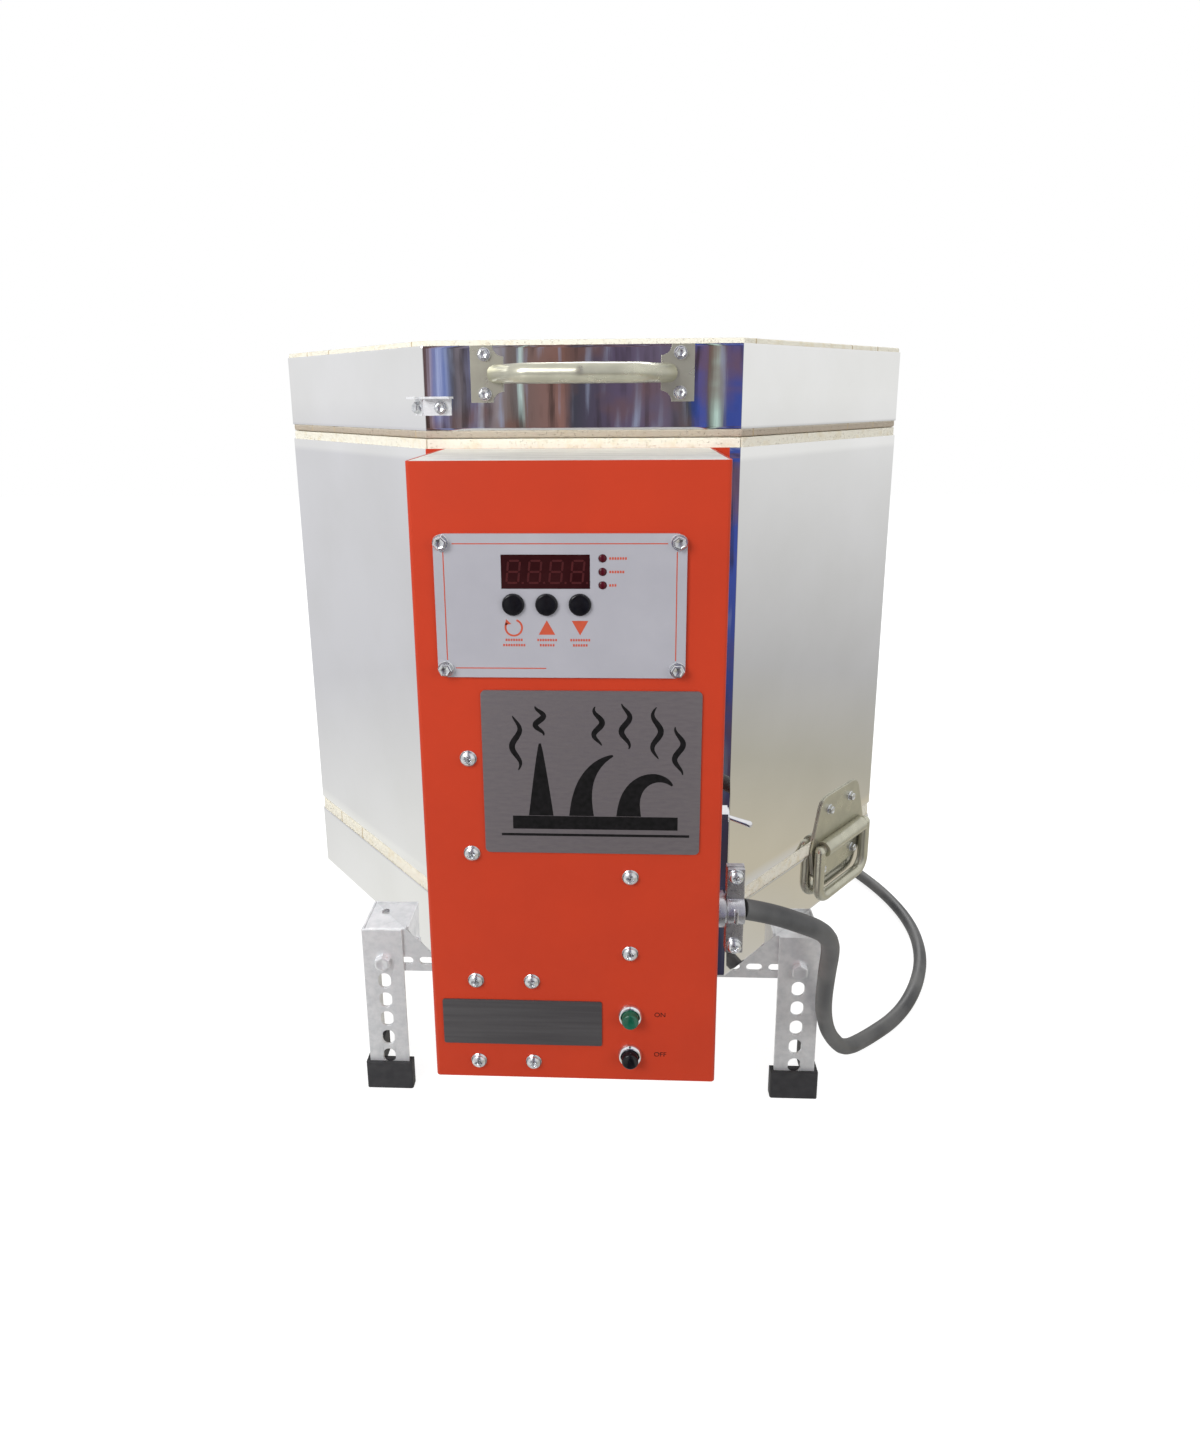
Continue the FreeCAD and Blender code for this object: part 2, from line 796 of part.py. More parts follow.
# The jacket's ends meet behind the kiln under a screwed strip, and so do the base band's.
seam_low = "jacket_low + seam_inset"
seam_high = "hinge_plate_top - hinge_plate_high - 2 * seam_inset - (jacket_low + seam_inset)"
seams = [
    block("0 - seam_wide / 2", "skin_face", seam_low, "seam_wide", "seam_thick", seam_high),
    block("0 - seam_wide / 2", "skin_face", "stand_high + seam_inset", "seam_wide", "seam_thick",
          "base_band_high - 2 * seam_inset"),
]
node("seam_strips", group(*seams))
seam_places = ["stand_high + seam_screw_inset", "stand_high + base_band_high - seam_screw_inset"]
seam_places += [f"{seam_low} + seam_screw_inset + {step} / 4 * ({seam_high} - 2 * seam_screw_inset)"
                for step in range(5)]
seam_screws = [screw("0", "skin_face + seam_thick", z, "back", "hex") for z in seam_places]

# Heating elements: a coiled wire lies in each groove, and its ends leave through the front
# brick in ceramic sleeves to brass terminals in the control box.
terminal_y = "plate_face - sleeve_out"
coils, sleeves = [], []
for number, course in enumerate(COURSES):
    for groove in range(2):
        middle = f"slab_top + {number} * course_high + groove_first + {groove} * groove_pitch"
        z = value("slab_top") + number * value("course_high") + value("groove_first") + groove * value("groove_pitch")
        flat = value("coil_flat")
        corner = flat / math.cos(math.pi / 8)
        ring = [(corner * math.cos(math.pi / 8 * step), corner * math.sin(math.pi / 8 * step), z)
                for step in range(-3, 12, 2)]
        half_gap = value("tail_spread") / 2
        ring = [(half_gap, -flat, z)] + ring + [(-half_gap, -flat, z)]
        shape, length, radii = tube_shape(ring, value("coil_radius"), value("coil_bend"))
        turns = feature_of(shape, f"coil_{course}")
        tails = [rod(tail, "0 - coil_flat", middle, "tail_radius",
                     "skin_face + back_plate_thick + sleeve_out + terminal_long - coil_flat", "front")
                 for tail in tail_signs]
        coils.append(join(turns, *tails))
        for tail in tail_signs:
            body = rod(tail, "0 - chamber_flat - groove_deep - 1", middle, "sleeve_radius",
                       "skin_face + back_plate_thick + sleeve_out - chamber_flat - groove_deep - 1", "front")
            bore = rod(tail, "0 - chamber_flat", middle, "sleeve_bore", "brick_thick + sleeve_out + 20", "front")
            sleeves.append(cut(body, bore))
node("heating_elements", group(*coils))
node("element_sleeves", group(*sleeves))

terminals = []
for number in range(len(COURSES)):
    for groove in range(2):
        middle = f"slab_top + {number} * course_high + groove_first + {groove} * groove_pitch"
        for tail in tail_signs:
            barrel = rod(tail, terminal_y, middle, "terminal_radius", "terminal_long", "front")
            bore = rod(tail, f"{terminal_y} + 1", middle, "tail_radius + 0.05", "terminal_long + 2", "front")
            terminals.append(cut(barrel, bore))
node("element_terminals", group(*terminals))

# Thermocouple: a ceramic tube through the front brick, and its terminal block on the back plate.
node("thermocouple", rod("0", "0 - chamber_flat + probe_reach", "probe_z", "probe_radius",
                         "probe_reach + brick_thick + skin + back_plate_thick", "front"))
node("thermocouple_block", block("0 - probe_block_wide / 2", "plate_face - probe_block_deep",
                                 "probe_z - probe_block_high / 2", "probe_block_wide", "probe_block_deep",
                                 "probe_block_high"))


def slotted_rail(length, deep, slot_z):
    """A slotted angle along +X: its upright flange on y = 0, its flat one on top, reaching back.

    slot_z is the height of the slots in the upright flange, from its top.
    """
    body = doc.addObject("PartDesign::Body", "rail")
    section = sketch_on(body, "YZ_Plane")
    outline(section, [("0", "0"), (deep, "0"), (deep, "0 - angle_thick"), ("angle_thick", "0 - angle_thick"),
                      ("angle_thick", "0 - rail_high"), ("0", "0 - rail_high")])
    pad(body, section, length)
    rows = []
    pitch = f"(({length}) - 2 * (angle_face / 2 - angle_thick - stand_gap)) / (slot_count - 1)"
    first = "angle_face / 2 - angle_thick - stand_gap"
    for plane, up in (("XZ_Plane", slot_z), ("XY_Plane", f"({deep}) * 0.6")):
        sketch = sketch_on(body, plane)
        slot(sketch, first, up, "slot_long", "slot_wide")
        rows.append(pocket(body, sketch))
        pattern = body.newObject("PartDesign::LinearPattern", "slots")
        pattern.Originals = [rows[-1]]
        pattern.Direction = (origin_of(body, "X_Axis"), [""])
        bind(pattern, Occurrences="slot_count", Length=f"({pitch}) * (slot_count - 1)")
        body.Tip = pattern
        doc.recompute()
    return body


# Stand: four legs of slotted angle, two long rails under the slab, and two between them.
rail_long = "2 * (leg_reach_x - angle_thick - stand_gap)"
cross_long = "2 * (leg_reach_y - angle_thick - stand_gap)"
half_turn = Rotation(Vector(0, 0, 1), 180)
quarter_turn = Rotation(Vector(0, 0, 1), 90)
back_quarter = Rotation(Vector(0, 0, 1), -90)
long_rails = [
    place(slotted_rail(rail_long, "angle_side", "0 - stand_bolt_drop"), f"0 - ({rail_long}) / 2", "0 - leg_reach_y + angle_thick",
          "stand_high"),
    place(slotted_rail(rail_long, "angle_side", "0 - stand_bolt_drop"), f"({rail_long}) / 2", "leg_reach_y - angle_thick", "stand_high",
          half_turn),
]
node("stand_rails_long", group(*long_rails))
side_long = f"({cross_long}) - 2 * (angle_thick + stand_gap)"
short_rails = [
    place(slotted_rail(side_long, "angle_face", "angle_thick - stand_bolt_drop"), "leg_reach_x - angle_thick", f"0 - ({side_long}) / 2",
          "stand_high - angle_thick", quarter_turn),
    place(slotted_rail(side_long, "angle_face", "angle_thick - stand_bolt_drop"), "0 - leg_reach_x + angle_thick", f"({side_long}) / 2",
          "stand_high - angle_thick", back_quarter),
]
node("stand_rails_short", group(*short_rails))


def leg_shape(face, side):
    """A leg of angle: its corner at the origin, one flange along +X and one along +Y."""
    body = doc.addObject("PartDesign::Body", "leg")
    section = sketch_on(body, "XY_Plane")
    outline(section, [("0", "0"), (face, "0"), (face, "angle_thick"), ("angle_thick", "angle_thick"),
                      ("angle_thick", side), ("0", side)])
    pad(body, section, "stand_high - cap_floor")
    for plane, middle in (("XZ_Plane", f"({face}) / 2"), ("YZ_Plane", f"({side}) / 2")):
        for step in range(6):
            sketch = sketch_on(body, plane)
            up = f"stand_high - cap_floor - stand_bolt_drop - {step} * leg_hole_pitch"
            if step:
                slot(sketch, middle, up, "leg_hole_long", "leg_hole_wide", upright=True)
            else:
                circle(sketch, middle, up, "slot_wide / 2")
            pocket(body, sketch)
    return body


CORNERS = {
    "front_left": (-1, -1, Rotation()),
    "front_right": (1, -1, quarter_turn),
    "rear_right": (1, 1, half_turn),
    "rear_left": (-1, 1, back_quarter),
}
legs = []
for side_x, side_y, turn in CORNERS.values():
    swapped = side_x * side_y < 0
    face, side = ("angle_side", "angle_face") if swapped else ("angle_face", "angle_side")
    legs.append(place(leg_shape(face, side), f"{side_x} * leg_reach_x", f"{side_y} * leg_reach_y", "cap_floor",
                      turn))
node("stand_legs", group(*legs))


def foot_cap(side_x, side_y):
    """A moulded cap under a leg, whose walls follow the angle on both its sides."""
    wide = "angle_face + 2 * cap_wall"
    deep = "angle_side + 2 * cap_wall"
    x = "0 - leg_reach_x - cap_wall" if side_x < 0 else "leg_reach_x - angle_face - cap_wall"
    y = "0 - leg_reach_y - cap_wall" if side_y < 0 else "leg_reach_y - angle_side - cap_wall"
    cup = rounded(block(x, y, "0", wide, deep, "cap_high"), 0.6 * value("cap_wall"), is_upright)
    slit = "(angle_thick + 2 * cap_gap)"
    left = f"{x} + cap_wall - cap_gap"
    near = f"{y} + cap_wall - cap_gap"
    slit_x = left if side_x < 0 else f"{left} + angle_face + 2 * cap_gap - {slit}"
    slit_y = near if side_y < 0 else f"{near} + angle_side + 2 * cap_gap - {slit}"
    face_slit = block(left, slit_y, "cap_floor", "angle_face + 2 * cap_gap", slit, "cap_high")
    side_slit = block(slit_x, near, "cap_floor", slit, "angle_side + 2 * cap_gap", "cap_high")
    open_x = f"{x} + 2 * cap_wall + angle_thick" if side_x < 0 else f"{x} - 1"
    open_y = f"{y} + 2 * cap_wall + angle_thick" if side_y < 0 else f"{y} - 1"
    inner_corner = block(open_x, open_y, "0 - 1", f"{wide} - 2 * cap_wall - angle_thick + 1",
                         f"{deep} - 2 * cap_wall - angle_thick + 1", "cap_high + 2")
    return cut(cup, face_slit, side_slit, inner_corner)


node("foot_caps", group(*[foot_cap(x, y) for x, y, turn in CORNERS.values()]))


def stand_bolt(x, y, towards):
    """A hexagon bolt through a leg and a rail, with its nut behind the rail."""
    inwards = {"front": "back", "back": "front", "right": "left", "left": "right"}[towards]
    head = hexagon(x, y, "bolt_z", "bolt_head_wide", "bolt_head_high", towards)
    shank = rod(x, y, "bolt_z", "bolt_radius", "2 * angle_thick + bolt_out + 2", inwards)
    sign = {"front": (0, 1), "back": (0, -1), "right": (-1, 0), "left": (1, 0)}[towards]
    nut = hexagon(f"{x} + {sign[0]} * 2 * angle_thick", f"{y} + {sign[1]} * 2 * angle_thick", "bolt_z",
                  "bolt_head_wide - 2", "bolt_out", inwards)
    return join(head, shank, nut)


bolts = []
for side_x, side_y, turn in CORNERS.values():
    bolts.append(stand_bolt(f"{side_x} * bolt_x", f"{side_y} * leg_reach_y", "front" if side_y < 0 else "back"))
    bolts.append(stand_bolt(f"{side_x} * leg_reach_x", f"{side_y} * bolt_y", "left" if side_x < 0 else "right"))
node("stand_bolts", group(*bolts))

# Control box: back plate on the jacket, folded cover in front of it, and a bare top plate.
terminal_holes = []
for number in range(len(COURSES)):
    for groove in range(2):
        middle = f"slab_top + {number} * course_high + groove_first + {groove} * groove_pitch"
        for tail in tail_signs:
            terminal_holes.append(rod(f"{tail} - box_x", "plate_back + 1", middle, "sleeve_radius + sleeve_gap",
                                      "back_plate_thick + 2", "front"))
terminal_holes.append(rod("0 - box_x", "plate_back + 1", "probe_z", "probe_radius + sleeve_gap",
                          "back_plate_thick + 2", "front"))
back_plate = block("0 - back_plate_wide / 2", "plate_face", "box_low", "back_plate_wide", "back_plate_thick",
                   "back_plate_top - box_low")
node("box_back_plate", cut(back_plate, *terminal_holes), "box_x")
back_screws = [screw(f"box_x + {sign} * (back_plate_wide / 2 - back_screw_inset)", "plate_face", z, "front", "hex",
                     "back_plate_thick + skin + 4")
               for sign in (-1, 1) for z in ("jacket_low + back_screw_end", "jacket_top - back_screw_end")]

shell = block("0 - box_side", "box_face", "box_low", "box_wide", "plate_face - box_face", "box_high - box_low")
shell = rounded(shell, value("box_bend"), is_upright)
hollow = block("0 - box_side + box_sheet", "box_inner_face", "box_low + box_sheet", "box_wide - 2 * box_sheet",
               "box_deep", "box_high")
cover_holes = [hollow]
cover_holes.append(block("panel_x - panel_hole_wide / 2", "box_face - 1", "panel_z - panel_hole_high / 2",
                         "panel_hole_wide", "box_sheet + 2", "panel_hole_high"))
for side in (-1, 1):
    for up in (-1, 1):
        cover_holes.append(rod(f"panel_x + {side} * panel_screw_x", "box_face + box_sheet + 1",
                               f"panel_z + {up} * panel_screw_z", "screw_radius + 0.1", "box_sheet + 2", "front"))
for across, up in PANEL_SCREWS.values():
    cover_holes.append(rod(f"{across}", "box_face + box_sheet + 1", f"{up}", "screw_radius + 0.1",
                           "box_sheet + 2", "front"))
for up in ("start_z", "stop_z"):
    cover_holes.append(rod("push_x", "box_face + box_sheet + 1", up, "push_body_radius + push_fit",
                           "box_sheet + 2", "front"))
cover_holes.append(rod("box_side - box_sheet - 1", "toggle_y", "toggle_z", "bushing_radius + push_fit",
                       "box_sheet + 2", "right"))
cover_holes.append(rod("box_side - box_sheet - 1", "clamp_y", "clamp_z", "jaw_radius + push_fit",
                       "box_sheet + 2", "right"))
node("box_cover", cut(shell, *cover_holes), "box_x")
node("box_top_plate", block("0 - box_side + box_sheet + top_fit", "box_inner_face + top_fit", "box_high - box_sheet",
                            "box_wide - 2 * (box_sheet + top_fit)",
                            "plate_face - box_inner_face - 2 * top_fit", "box_sheet"), "box_x")

# Controller: face plate with a display window, three keys and three lamps, board behind it.
keys_x = [f"key_first_x + {step} * key_pitch" for step in range(3)]
lamps_z = [f"lamp_first_z + {step} * lamp_pitch" for step in range(3)]
panel_holes = [(f"{side} * panel_screw_x", f"{up} * panel_screw_z", "screw_radius + 0.1")
               for side in (-1, 1) for up in (-1, 1)]
panel_holes += [(across, "key_z", "key_radius + key_fit") for across in keys_x]
panel_holes += [("lamp_x", up, "lamp_radius + key_fit") for up in lamps_z]
panel = front_plate("panel_wide", "panel_high", "panel_thick", "panel_corner", panel_holes,
                    [("window_x", "window_z", "window_wide + 2 * window_fit", "window_high + 2 * window_fit")])
node("controller_plate", place(panel, "panel_x", "box_face", "panel_z"), "box_x")
controller_screws = [
    screw(f"panel_x + {side} * panel_screw_x", "panel_face", f"panel_z + {up} * panel_screw_z", "front", "plate")
    for side in (-1, 1) for up in (-1, 1)]
node("display_window", block("panel_x + window_x - window_wide / 2", "panel_face - window_proud",
                             "panel_z + window_z - window_high / 2", "window_wide",
                             "panel_thick + window_proud", "window_high"), "box_x")
display = (block("panel_x + window_x - window_wide / 2", "box_face",
                             "panel_z + window_z - window_high / 2", "window_wide", "board_back", "window_high"))
lamps = []
for up in lamps_z:
    z = f"panel_z + {up}"
    lamps.append(rod("panel_x + lamp_x", "board_face", z, "lamp_radius",
                     "board_back + panel_thick + lamp_proud", "front"))
node("indicator_lamps", group(*lamps), "box_x")
key_names = ["program_key", "up_key", "down_key"]
key_back = "box_face + key_flange"
for name, across in zip(key_names, keys_x):
    x = f"panel_x + {across}"
    z = "panel_z + key_z"
    cap = rod(x, key_back, z, "key_radius", "key_flange + panel_thick + key_proud", "front")
    flange = rod(x, f"{key_back} + key_flange - 0.3", z, "key_radius + key_flange_wide", "key_flange", "front")
    stem = rod(x, key_back, z, "key_stem", "board_back - key_flange - switch_high - key_travel - 0.1", "back")
    node(name, join(cap, flange, stem), "box_x")
switches = [
    block(f"panel_x + {across} - switch_wide / 2", "board_face - switch_high", "panel_z + key_z - switch_wide / 2",
          "switch_wide", "switch_high", "switch_wide") for across in keys_x]
board = block("panel_x - board_wide / 2", "board_face", "panel_z - board_high / 2", "board_wide", "board_thick",
              "board_high")
chips = [block(f"panel_x + {across} - chip_wide / 2", "board_face + board_thick", f"panel_z + {up} - chip_high / 2",
               "chip_wide", "chip_thick", "chip_high") for across, up in CHIPS]
node("controller_board", group(join(board, *chips), display, *switches), "box_x")
node("board_posts", group(*[
    rod(f"panel_x + {side} * post_x", "box_face", f"panel_z + {up} * post_z", "post_radius", "board_back", "back")
    for side in (-1, 1) for up in (-1, 1)]), "box_x")

# Plates and screws on the front of the box.
node("badge_plate", place(front_plate("badge_wide", "badge_high", "badge_thick", "badge_corner"),
                          "badge_x", "box_face", "badge_z"), "box_x")
node("label_plate", place(front_plate("label_wide", "label_high", "label_thick", "label_corner"),
                          "label_x", "box_face", "label_z"), "box_x")
panel_screws = [screw(f"{across}", "box_face", f"{up}", "front", "pan", "box_sheet + screw_long / 2")
                for across, up in PANEL_SCREWS.values()]

# Push buttons: a chromed bezel and body through the box, and a cap that travels in its bore.
button_bodies = []
for name, z in (("start", "start_z"), ("stop", "stop_z")):
    bezel = rod("push_x", "box_face", z, "bezel_radius", "bezel_proud", "front")
    body = rod("push_x", "box_face - bezel_proud", z, "push_body_radius", "bezel_proud + push_body_deep", "back")
    nut = hexagon("push_x", "box_inner_face", z, "push_nut_wide", "push_nut_thick", "back")
    bore = rod("push_x", "box_face - bezel_proud - 1", z, "push_cap_radius + push_fit",
               "bezel_proud + 1 + push_cap_inside + push_travel + 0.5", "back")
    button_bodies.append(cut(join(bezel, body, nut), bore))
    node(f"{name}_button", rod("push_x", "box_face - bezel_proud - push_cap_proud", z, "push_cap_radius",
                               "push_cap_proud + bezel_proud + push_cap_inside", "back"), "box_x")

node("push_button_bodies", group(*button_bodies), "box_x")

# Toggle switch on the right side of the box: its lever rests tilted down.
pivot_x = "box_side + toggle_pivot_in"
bushing = rod("box_side - box_sheet", "toggle_y", "toggle_z", "bushing_radius", "box_sheet + bushing_out", "right")
toggle_nut = hexagon("box_side", "toggle_y", "toggle_z", "toggle_nut_wide", "toggle_nut_thick", "right")
case = block("box_side - box_sheet - toggle_body_deep", "toggle_y - toggle_body_wide / 2",
             "toggle_z - toggle_body_high / 2", "toggle_body_deep", "toggle_body_wide", "toggle_body_high")
socket = rod(f"{pivot_x} - toggle_ball - 0.3", "toggle_y", "toggle_z", "toggle_ball + bushing_fit", "bushing_out", "right")
mouth = taper(pivot_x, "toggle_y", "toggle_z", "toggle_ball + bushing_fit", "bushing_mouth",
              "bushing_out - toggle_pivot_in + 0.1", "right")
node("toggle_body", cut(join(bushing, toggle_nut, case), socket, mouth), "box_x")
ball = doc.addObject("Part::Sphere", "ball")
bind(ball, Radius="toggle_ball")
stick = taper("0", "0", "0", "lever_neck", "lever_end", "lever_long")
lever = place(join(ball, stick), pivot_x, "toggle_y", "toggle_z", TURN["right"])
bind(lever, **{"Placement.Rotation.Angle": "90 + lever_tilt"})
node("toggle_lever", lever, "box_x")

# Switchgear fixed behind the box's front by the panel screws.
gear_y = "box_inner_face"


def gear_block(x, z, wide, high, deep):
    """A block of switchgear against the inside of the box's front."""
    return block(f"{x} - ({wide}) / 2", gear_y, f"{z} - ({high}) / 2", wide, deep, high)


def screw_ends(*names):
    """Clearance for the panel screws that enter a block."""
    return [rod(f"{PANEL_SCREWS[name][0]}", "box_face", f"{PANEL_SCREWS[name][1]}", "screw_radius + 0.05",
                "box_sheet + screw_long / 2 + 0.5", "back") for name in names]


contactor = cut(gear_block("contactor_x", "contactor_z", "contactor_wide", "contactor_high", "contactor_deep"),
                gear_block("contactor_x", "contactor_z + contactor_high / 2", "contactor_wide - 2 * contactor_cheek",
                           "2 * contactor_notch", "contactor_deep * 2"),
                *screw_ends("contactor_upper_left", "contactor_upper_right", "contactor_lower_left",
                            "contactor_lower_right"))
node("contactor", contactor, "box_x")
node("power_relay", cut(gear_block("relay_x", "relay_z", "relay_wide", "relay_high", "relay_deep"),
                        *screw_ends("relay_upper", "relay_lower")), "box_x")
core = gear_block("transformer_x", "transformer_z", "transformer_wide", "transformer_high", "transformer_deep")
winding = block("transformer_x - transformer_wide / 2 - winding_over",
                f"{gear_y} + transformer_deep * 0.25", "transformer_z - transformer_high * 0.24",
                "transformer_wide + 2 * winding_over", "transformer_deep * 0.6", "transformer_high * 0.48")
node("control_transformer", cut(join(core, winding), *screw_ends("transformer_upper", "transformer_lower")), "box_x")
node("terminal_block", block("block_x - block_wide / 2", "plate_face - block_deep", "block_z - block_high / 2",
                             "block_wide", "block_deep", "block_high"), "box_x")

# Cord clamp on the right side of the box: a body with a rear jaw, a front strap and two screws.
jaw_x = "clamp_end - jaw_long"
throat = rod("box_side - 20", "clamp_y", "clamp_z", "cord_radius + clamp_fit", "clamp_out + 40", "right")
neck = rod("box_side - box_sheet - clamp_nut_thick - 2", "clamp_y", "clamp_z", "jaw_radius",
           "clamp_out + box_sheet + clamp_nut_thick + 2", "right")
ring = rod("box_side", "clamp_y", "clamp_z", "clamp_base_radius", "clamp_base_thick", "right")
nut = rod("box_side - box_sheet - clamp_nut_thick", "clamp_y", "clamp_z", "clamp_nut_radius",
          "clamp_nut_thick", "right")
rear_ear = block(jaw_x, "clamp_y", "clamp_z - ear_reach", "jaw_long", "ear_thick", "2 * ear_reach")
front_half = block(f"{jaw_x} - 0.3", "clamp_y - 2 * jaw_radius + jaw_split / 2", "clamp_z - jaw_radius - 1",
                   "jaw_long + 5", "2 * jaw_radius", "2 * jaw_radius + 2")
front_ears = block(f"{jaw_x} - 0.3", "clamp_y - 2 * jaw_radius + jaw_split / 2", "clamp_z - ear_reach - 1",
                   "jaw_long + 5", "2 * jaw_radius", "2 * ear_reach + 2")
ear_holes = [rod(f"{jaw_x} + jaw_long / 2", "clamp_y + 2 * ear_thick", f"clamp_z + {sign} * ear_screw",
                 "screw_radius + 0.1", "4 * ear_thick", "front") for sign in (-1, 1)]
node("cord_clamp_body", cut(join(neck, ring, nut, rear_ear), throat, front_half, front_ears, *ear_holes), "box_x")
strap_half = rod(jaw_x, "clamp_y", "clamp_z", "jaw_radius", "jaw_long", "right")
strap_ears = block(jaw_x, "clamp_y - ear_thick + 1", "clamp_z - ear_reach", "jaw_long", "ear_thick - 1", "2 * ear_reach")
strap_rib = block(f"{jaw_x} + jaw_long / 2 - 1", "clamp_y - jaw_radius - 0.8", "clamp_z - jaw_radius / 2",
                  "2", "2", "jaw_radius")
rear_half = block(f"{jaw_x} - 1", "clamp_y - jaw_split / 2", "clamp_z - ear_reach - 1", "jaw_long + 2",
                  "2 * jaw_radius", "2 * ear_reach + 2")
node("cord_clamp_strap", cut(join(strap_half, strap_ears, strap_rib), throat, rear_half, *ear_holes), "box_x")
clamp_screws = [screw(f"{jaw_x} + jaw_long / 2", "clamp_y - ear_thick + 1", f"clamp_z + {sign} * ear_screw",
                      "front", "pan", "2 * ear_thick + 3") for sign in (-1, 1)]
node("box_screws", group(*controller_screws, *panel_screws, *clamp_screws), "box_x")

# Mains cord: its end inside the box, the run over the floor, a coil behind the kiln and a plug.
cord_end_x = CORD_ROUTE[0][0]
node("cord_inner_end", rod("box_x + box_side - tail_inside", "clamp_y", "clamp_z", "cord_radius",
                           f"{cord_end_x} - box_x - box_side + tail_inside", "right"))
for label, route in (("power_cord", CORD_ROUTE), ("cord_end", CORD_END_ROUTE)):
    shape, length, radii = tube_shape(route, value("cord_radius"))
    node(label, feature_of(shape, label))
    expected = math.pi * value("cord_radius") ** 2 * length
    print(label, f"length {length:.0f}, volume share {shape.Volume / expected:.4f}",
          "radii", [round(radius) for radius in radii])
ring_low = "coil_slack"
outer = rod("coil_centre_x", "coil_centre_y", ring_low, "coil_mid_radius + cord_radius + coil_slack",
            "4 * cord_radius + coil_slack")
inner = rod("coil_centre_x", "coil_centre_y", ring_low, "coil_mid_radius - cord_radius - coil_slack",
            "4 * cord_radius + coil_slack + 1")
node("cord_coil", cut(outer, inner))
relief = taper("plug_x", "plug_y", "plug_z", "cord_radius + 0.6", "relief_end", "relief_long", "left")
grip = rod("plug_x - relief_long", "plug_y", "plug_z", "plug_radius", "plug_long", "left")
grip = rounded(grip, 0.15 * value("plug_radius"), lambda edge: edge.Length > value("plug_radius") * 6)
face_x = "plug_x - relief_long - plug_long"
blades = [block(f"{face_x} - blade_long", f"plug_y + {sign} * blade_spread - blade_thick / 2",
                "plug_z - blade_wide / 2", "blade_long + 1", "blade_thick", "blade_wide") for sign in (-1, 1)]
earth = rod(f"{face_x} + 1", "plug_y", "plug_z + blade_spread", "earth_pin_radius", "blade_long + 1", "left")
node("power_plug", join(relief, grip, earth, *blades))


# Lid handle: two screwed feet and a bowed grip between them.
def handle_foot(side):
    """One foot plate with its two inner corners scalloped."""
    base = block(f"{side} * foot_x - foot_wide / 2", "plate_back - foot_thick", "foot_z - foot_high / 2",
                 "foot_wide", "foot_thick", "foot_high")
    inner_x = f"{side} * (foot_x - foot_wide / 2)"
    scallops = [rod(inner_x, "plate_back + 1", f"foot_z + {up} * foot_high / 2", "foot_scallop",
                    "foot_thick + 2", "front") for up in (-1, 1)]
    holes = [rod(f"{side} * foot_screw_x", "plate_back + 1", f"foot_z + {up} * foot_screw_z",
                 "screw_radius + 0.1", "foot_thick + 2", "front") for up in (-1, 1)]
    return cut(base, *scallops, *holes)


grip_y = -value("skin_face") - value("foot_thick") / 2
half, out, rise = value("grip_half"), value("grip_out"), value("grip_rise")
foot_in = value("foot_x") - value("foot_wide") / 4
grip_route = [(-foot_in, grip_y, 0), (-half, grip_y - out + rise / 2, 0), (0, grip_y - out, 0),
              (half, grip_y - out + rise / 2, 0), (foot_in, grip_y, 0)]
grip_route = [(x, y, value("foot_z")) for x, y, z in grip_route]
grip_shape, length, radii = tube_shape(grip_route, value("grip_radius"), value("grip_bend"))
handle = join(handle_foot(-1), handle_foot(1), feature_of(grip_shape, "grip"))
behind = block("0 - foot_x - foot_wide", "plate_back", "foot_z - foot_high", "2 * (foot_x + foot_wide)", "20",
               "2 * foot_high")
node("lid_handle", cut(handle, behind))
handle_screws = [
    screw(f"{side} * foot_screw_x", "plate_back - foot_thick", f"foot_z + {up} * foot_screw_z", "front", "hex")
    for side in (-1, 1) for up in (-1, 1)]

# Band clip: a small folded tab that laps the lid band's ends round the front left corner.
clip_low = "clip_z - clip_high / 2"
clip_front = block("0 - corner_x - 0.3", "plate_back - clip_thick", clip_low, "clip_long", "clip_thick", "clip_high")
clip_lip = block("0 - corner_x - 0.3", "plate_back - clip_flange", f"{clip_low} + clip_high - clip_thick",
                 "clip_long", "clip_flange", "clip_thick")
eighth = Rotation(Vector(0, 0, 1), -45)
turned = block("corner_x - clip_turn", "plate_back - clip_thick", clip_low, "clip_turn + 0.3", "clip_thick", "clip_high")
turned_lip = block("corner_x - clip_turn", "plate_back - clip_flange", f"{clip_low} + clip_high - clip_thick",
                   "clip_turn + 2", "clip_flange", "clip_thick")
clip_side = place(join(turned, turned_lip), "0", "0", "0", eighth)
node("lid_band_clip", join(clip_front, clip_lip, clip_side))
side_screw = place(group(screw("corner_x - clip_turn_screw", "plate_back - clip_thick", "clip_z - 1", "front", "hex")),
                   "0", "0", "0", eighth)
front_screw = screw("0 - corner_x + clip_screw_inset", "plate_back - clip_thick", "clip_z - 1", "front", "hex")


# Lid hinge: a bracket on the jacket carries a rod, and a leaf on the lid band turns about it.
def cheek(x, corners, eye):
    """An upright cheek plate across the rod, with an eye about the rod."""
    body = doc.addObject("PartDesign::Body", "cheek")
    sketch = sketch_on(body, "YZ_Plane")
    outline(sketch, corners)
    pad(body, sketch, "cheek_thick", midplane=True)
    place(body, x, "0", "0")
    ring = rod(f"{x} - cheek_thick / 2", "hinge_y", "hinge_z", eye, "cheek_thick", "right")
    return join(body, ring)


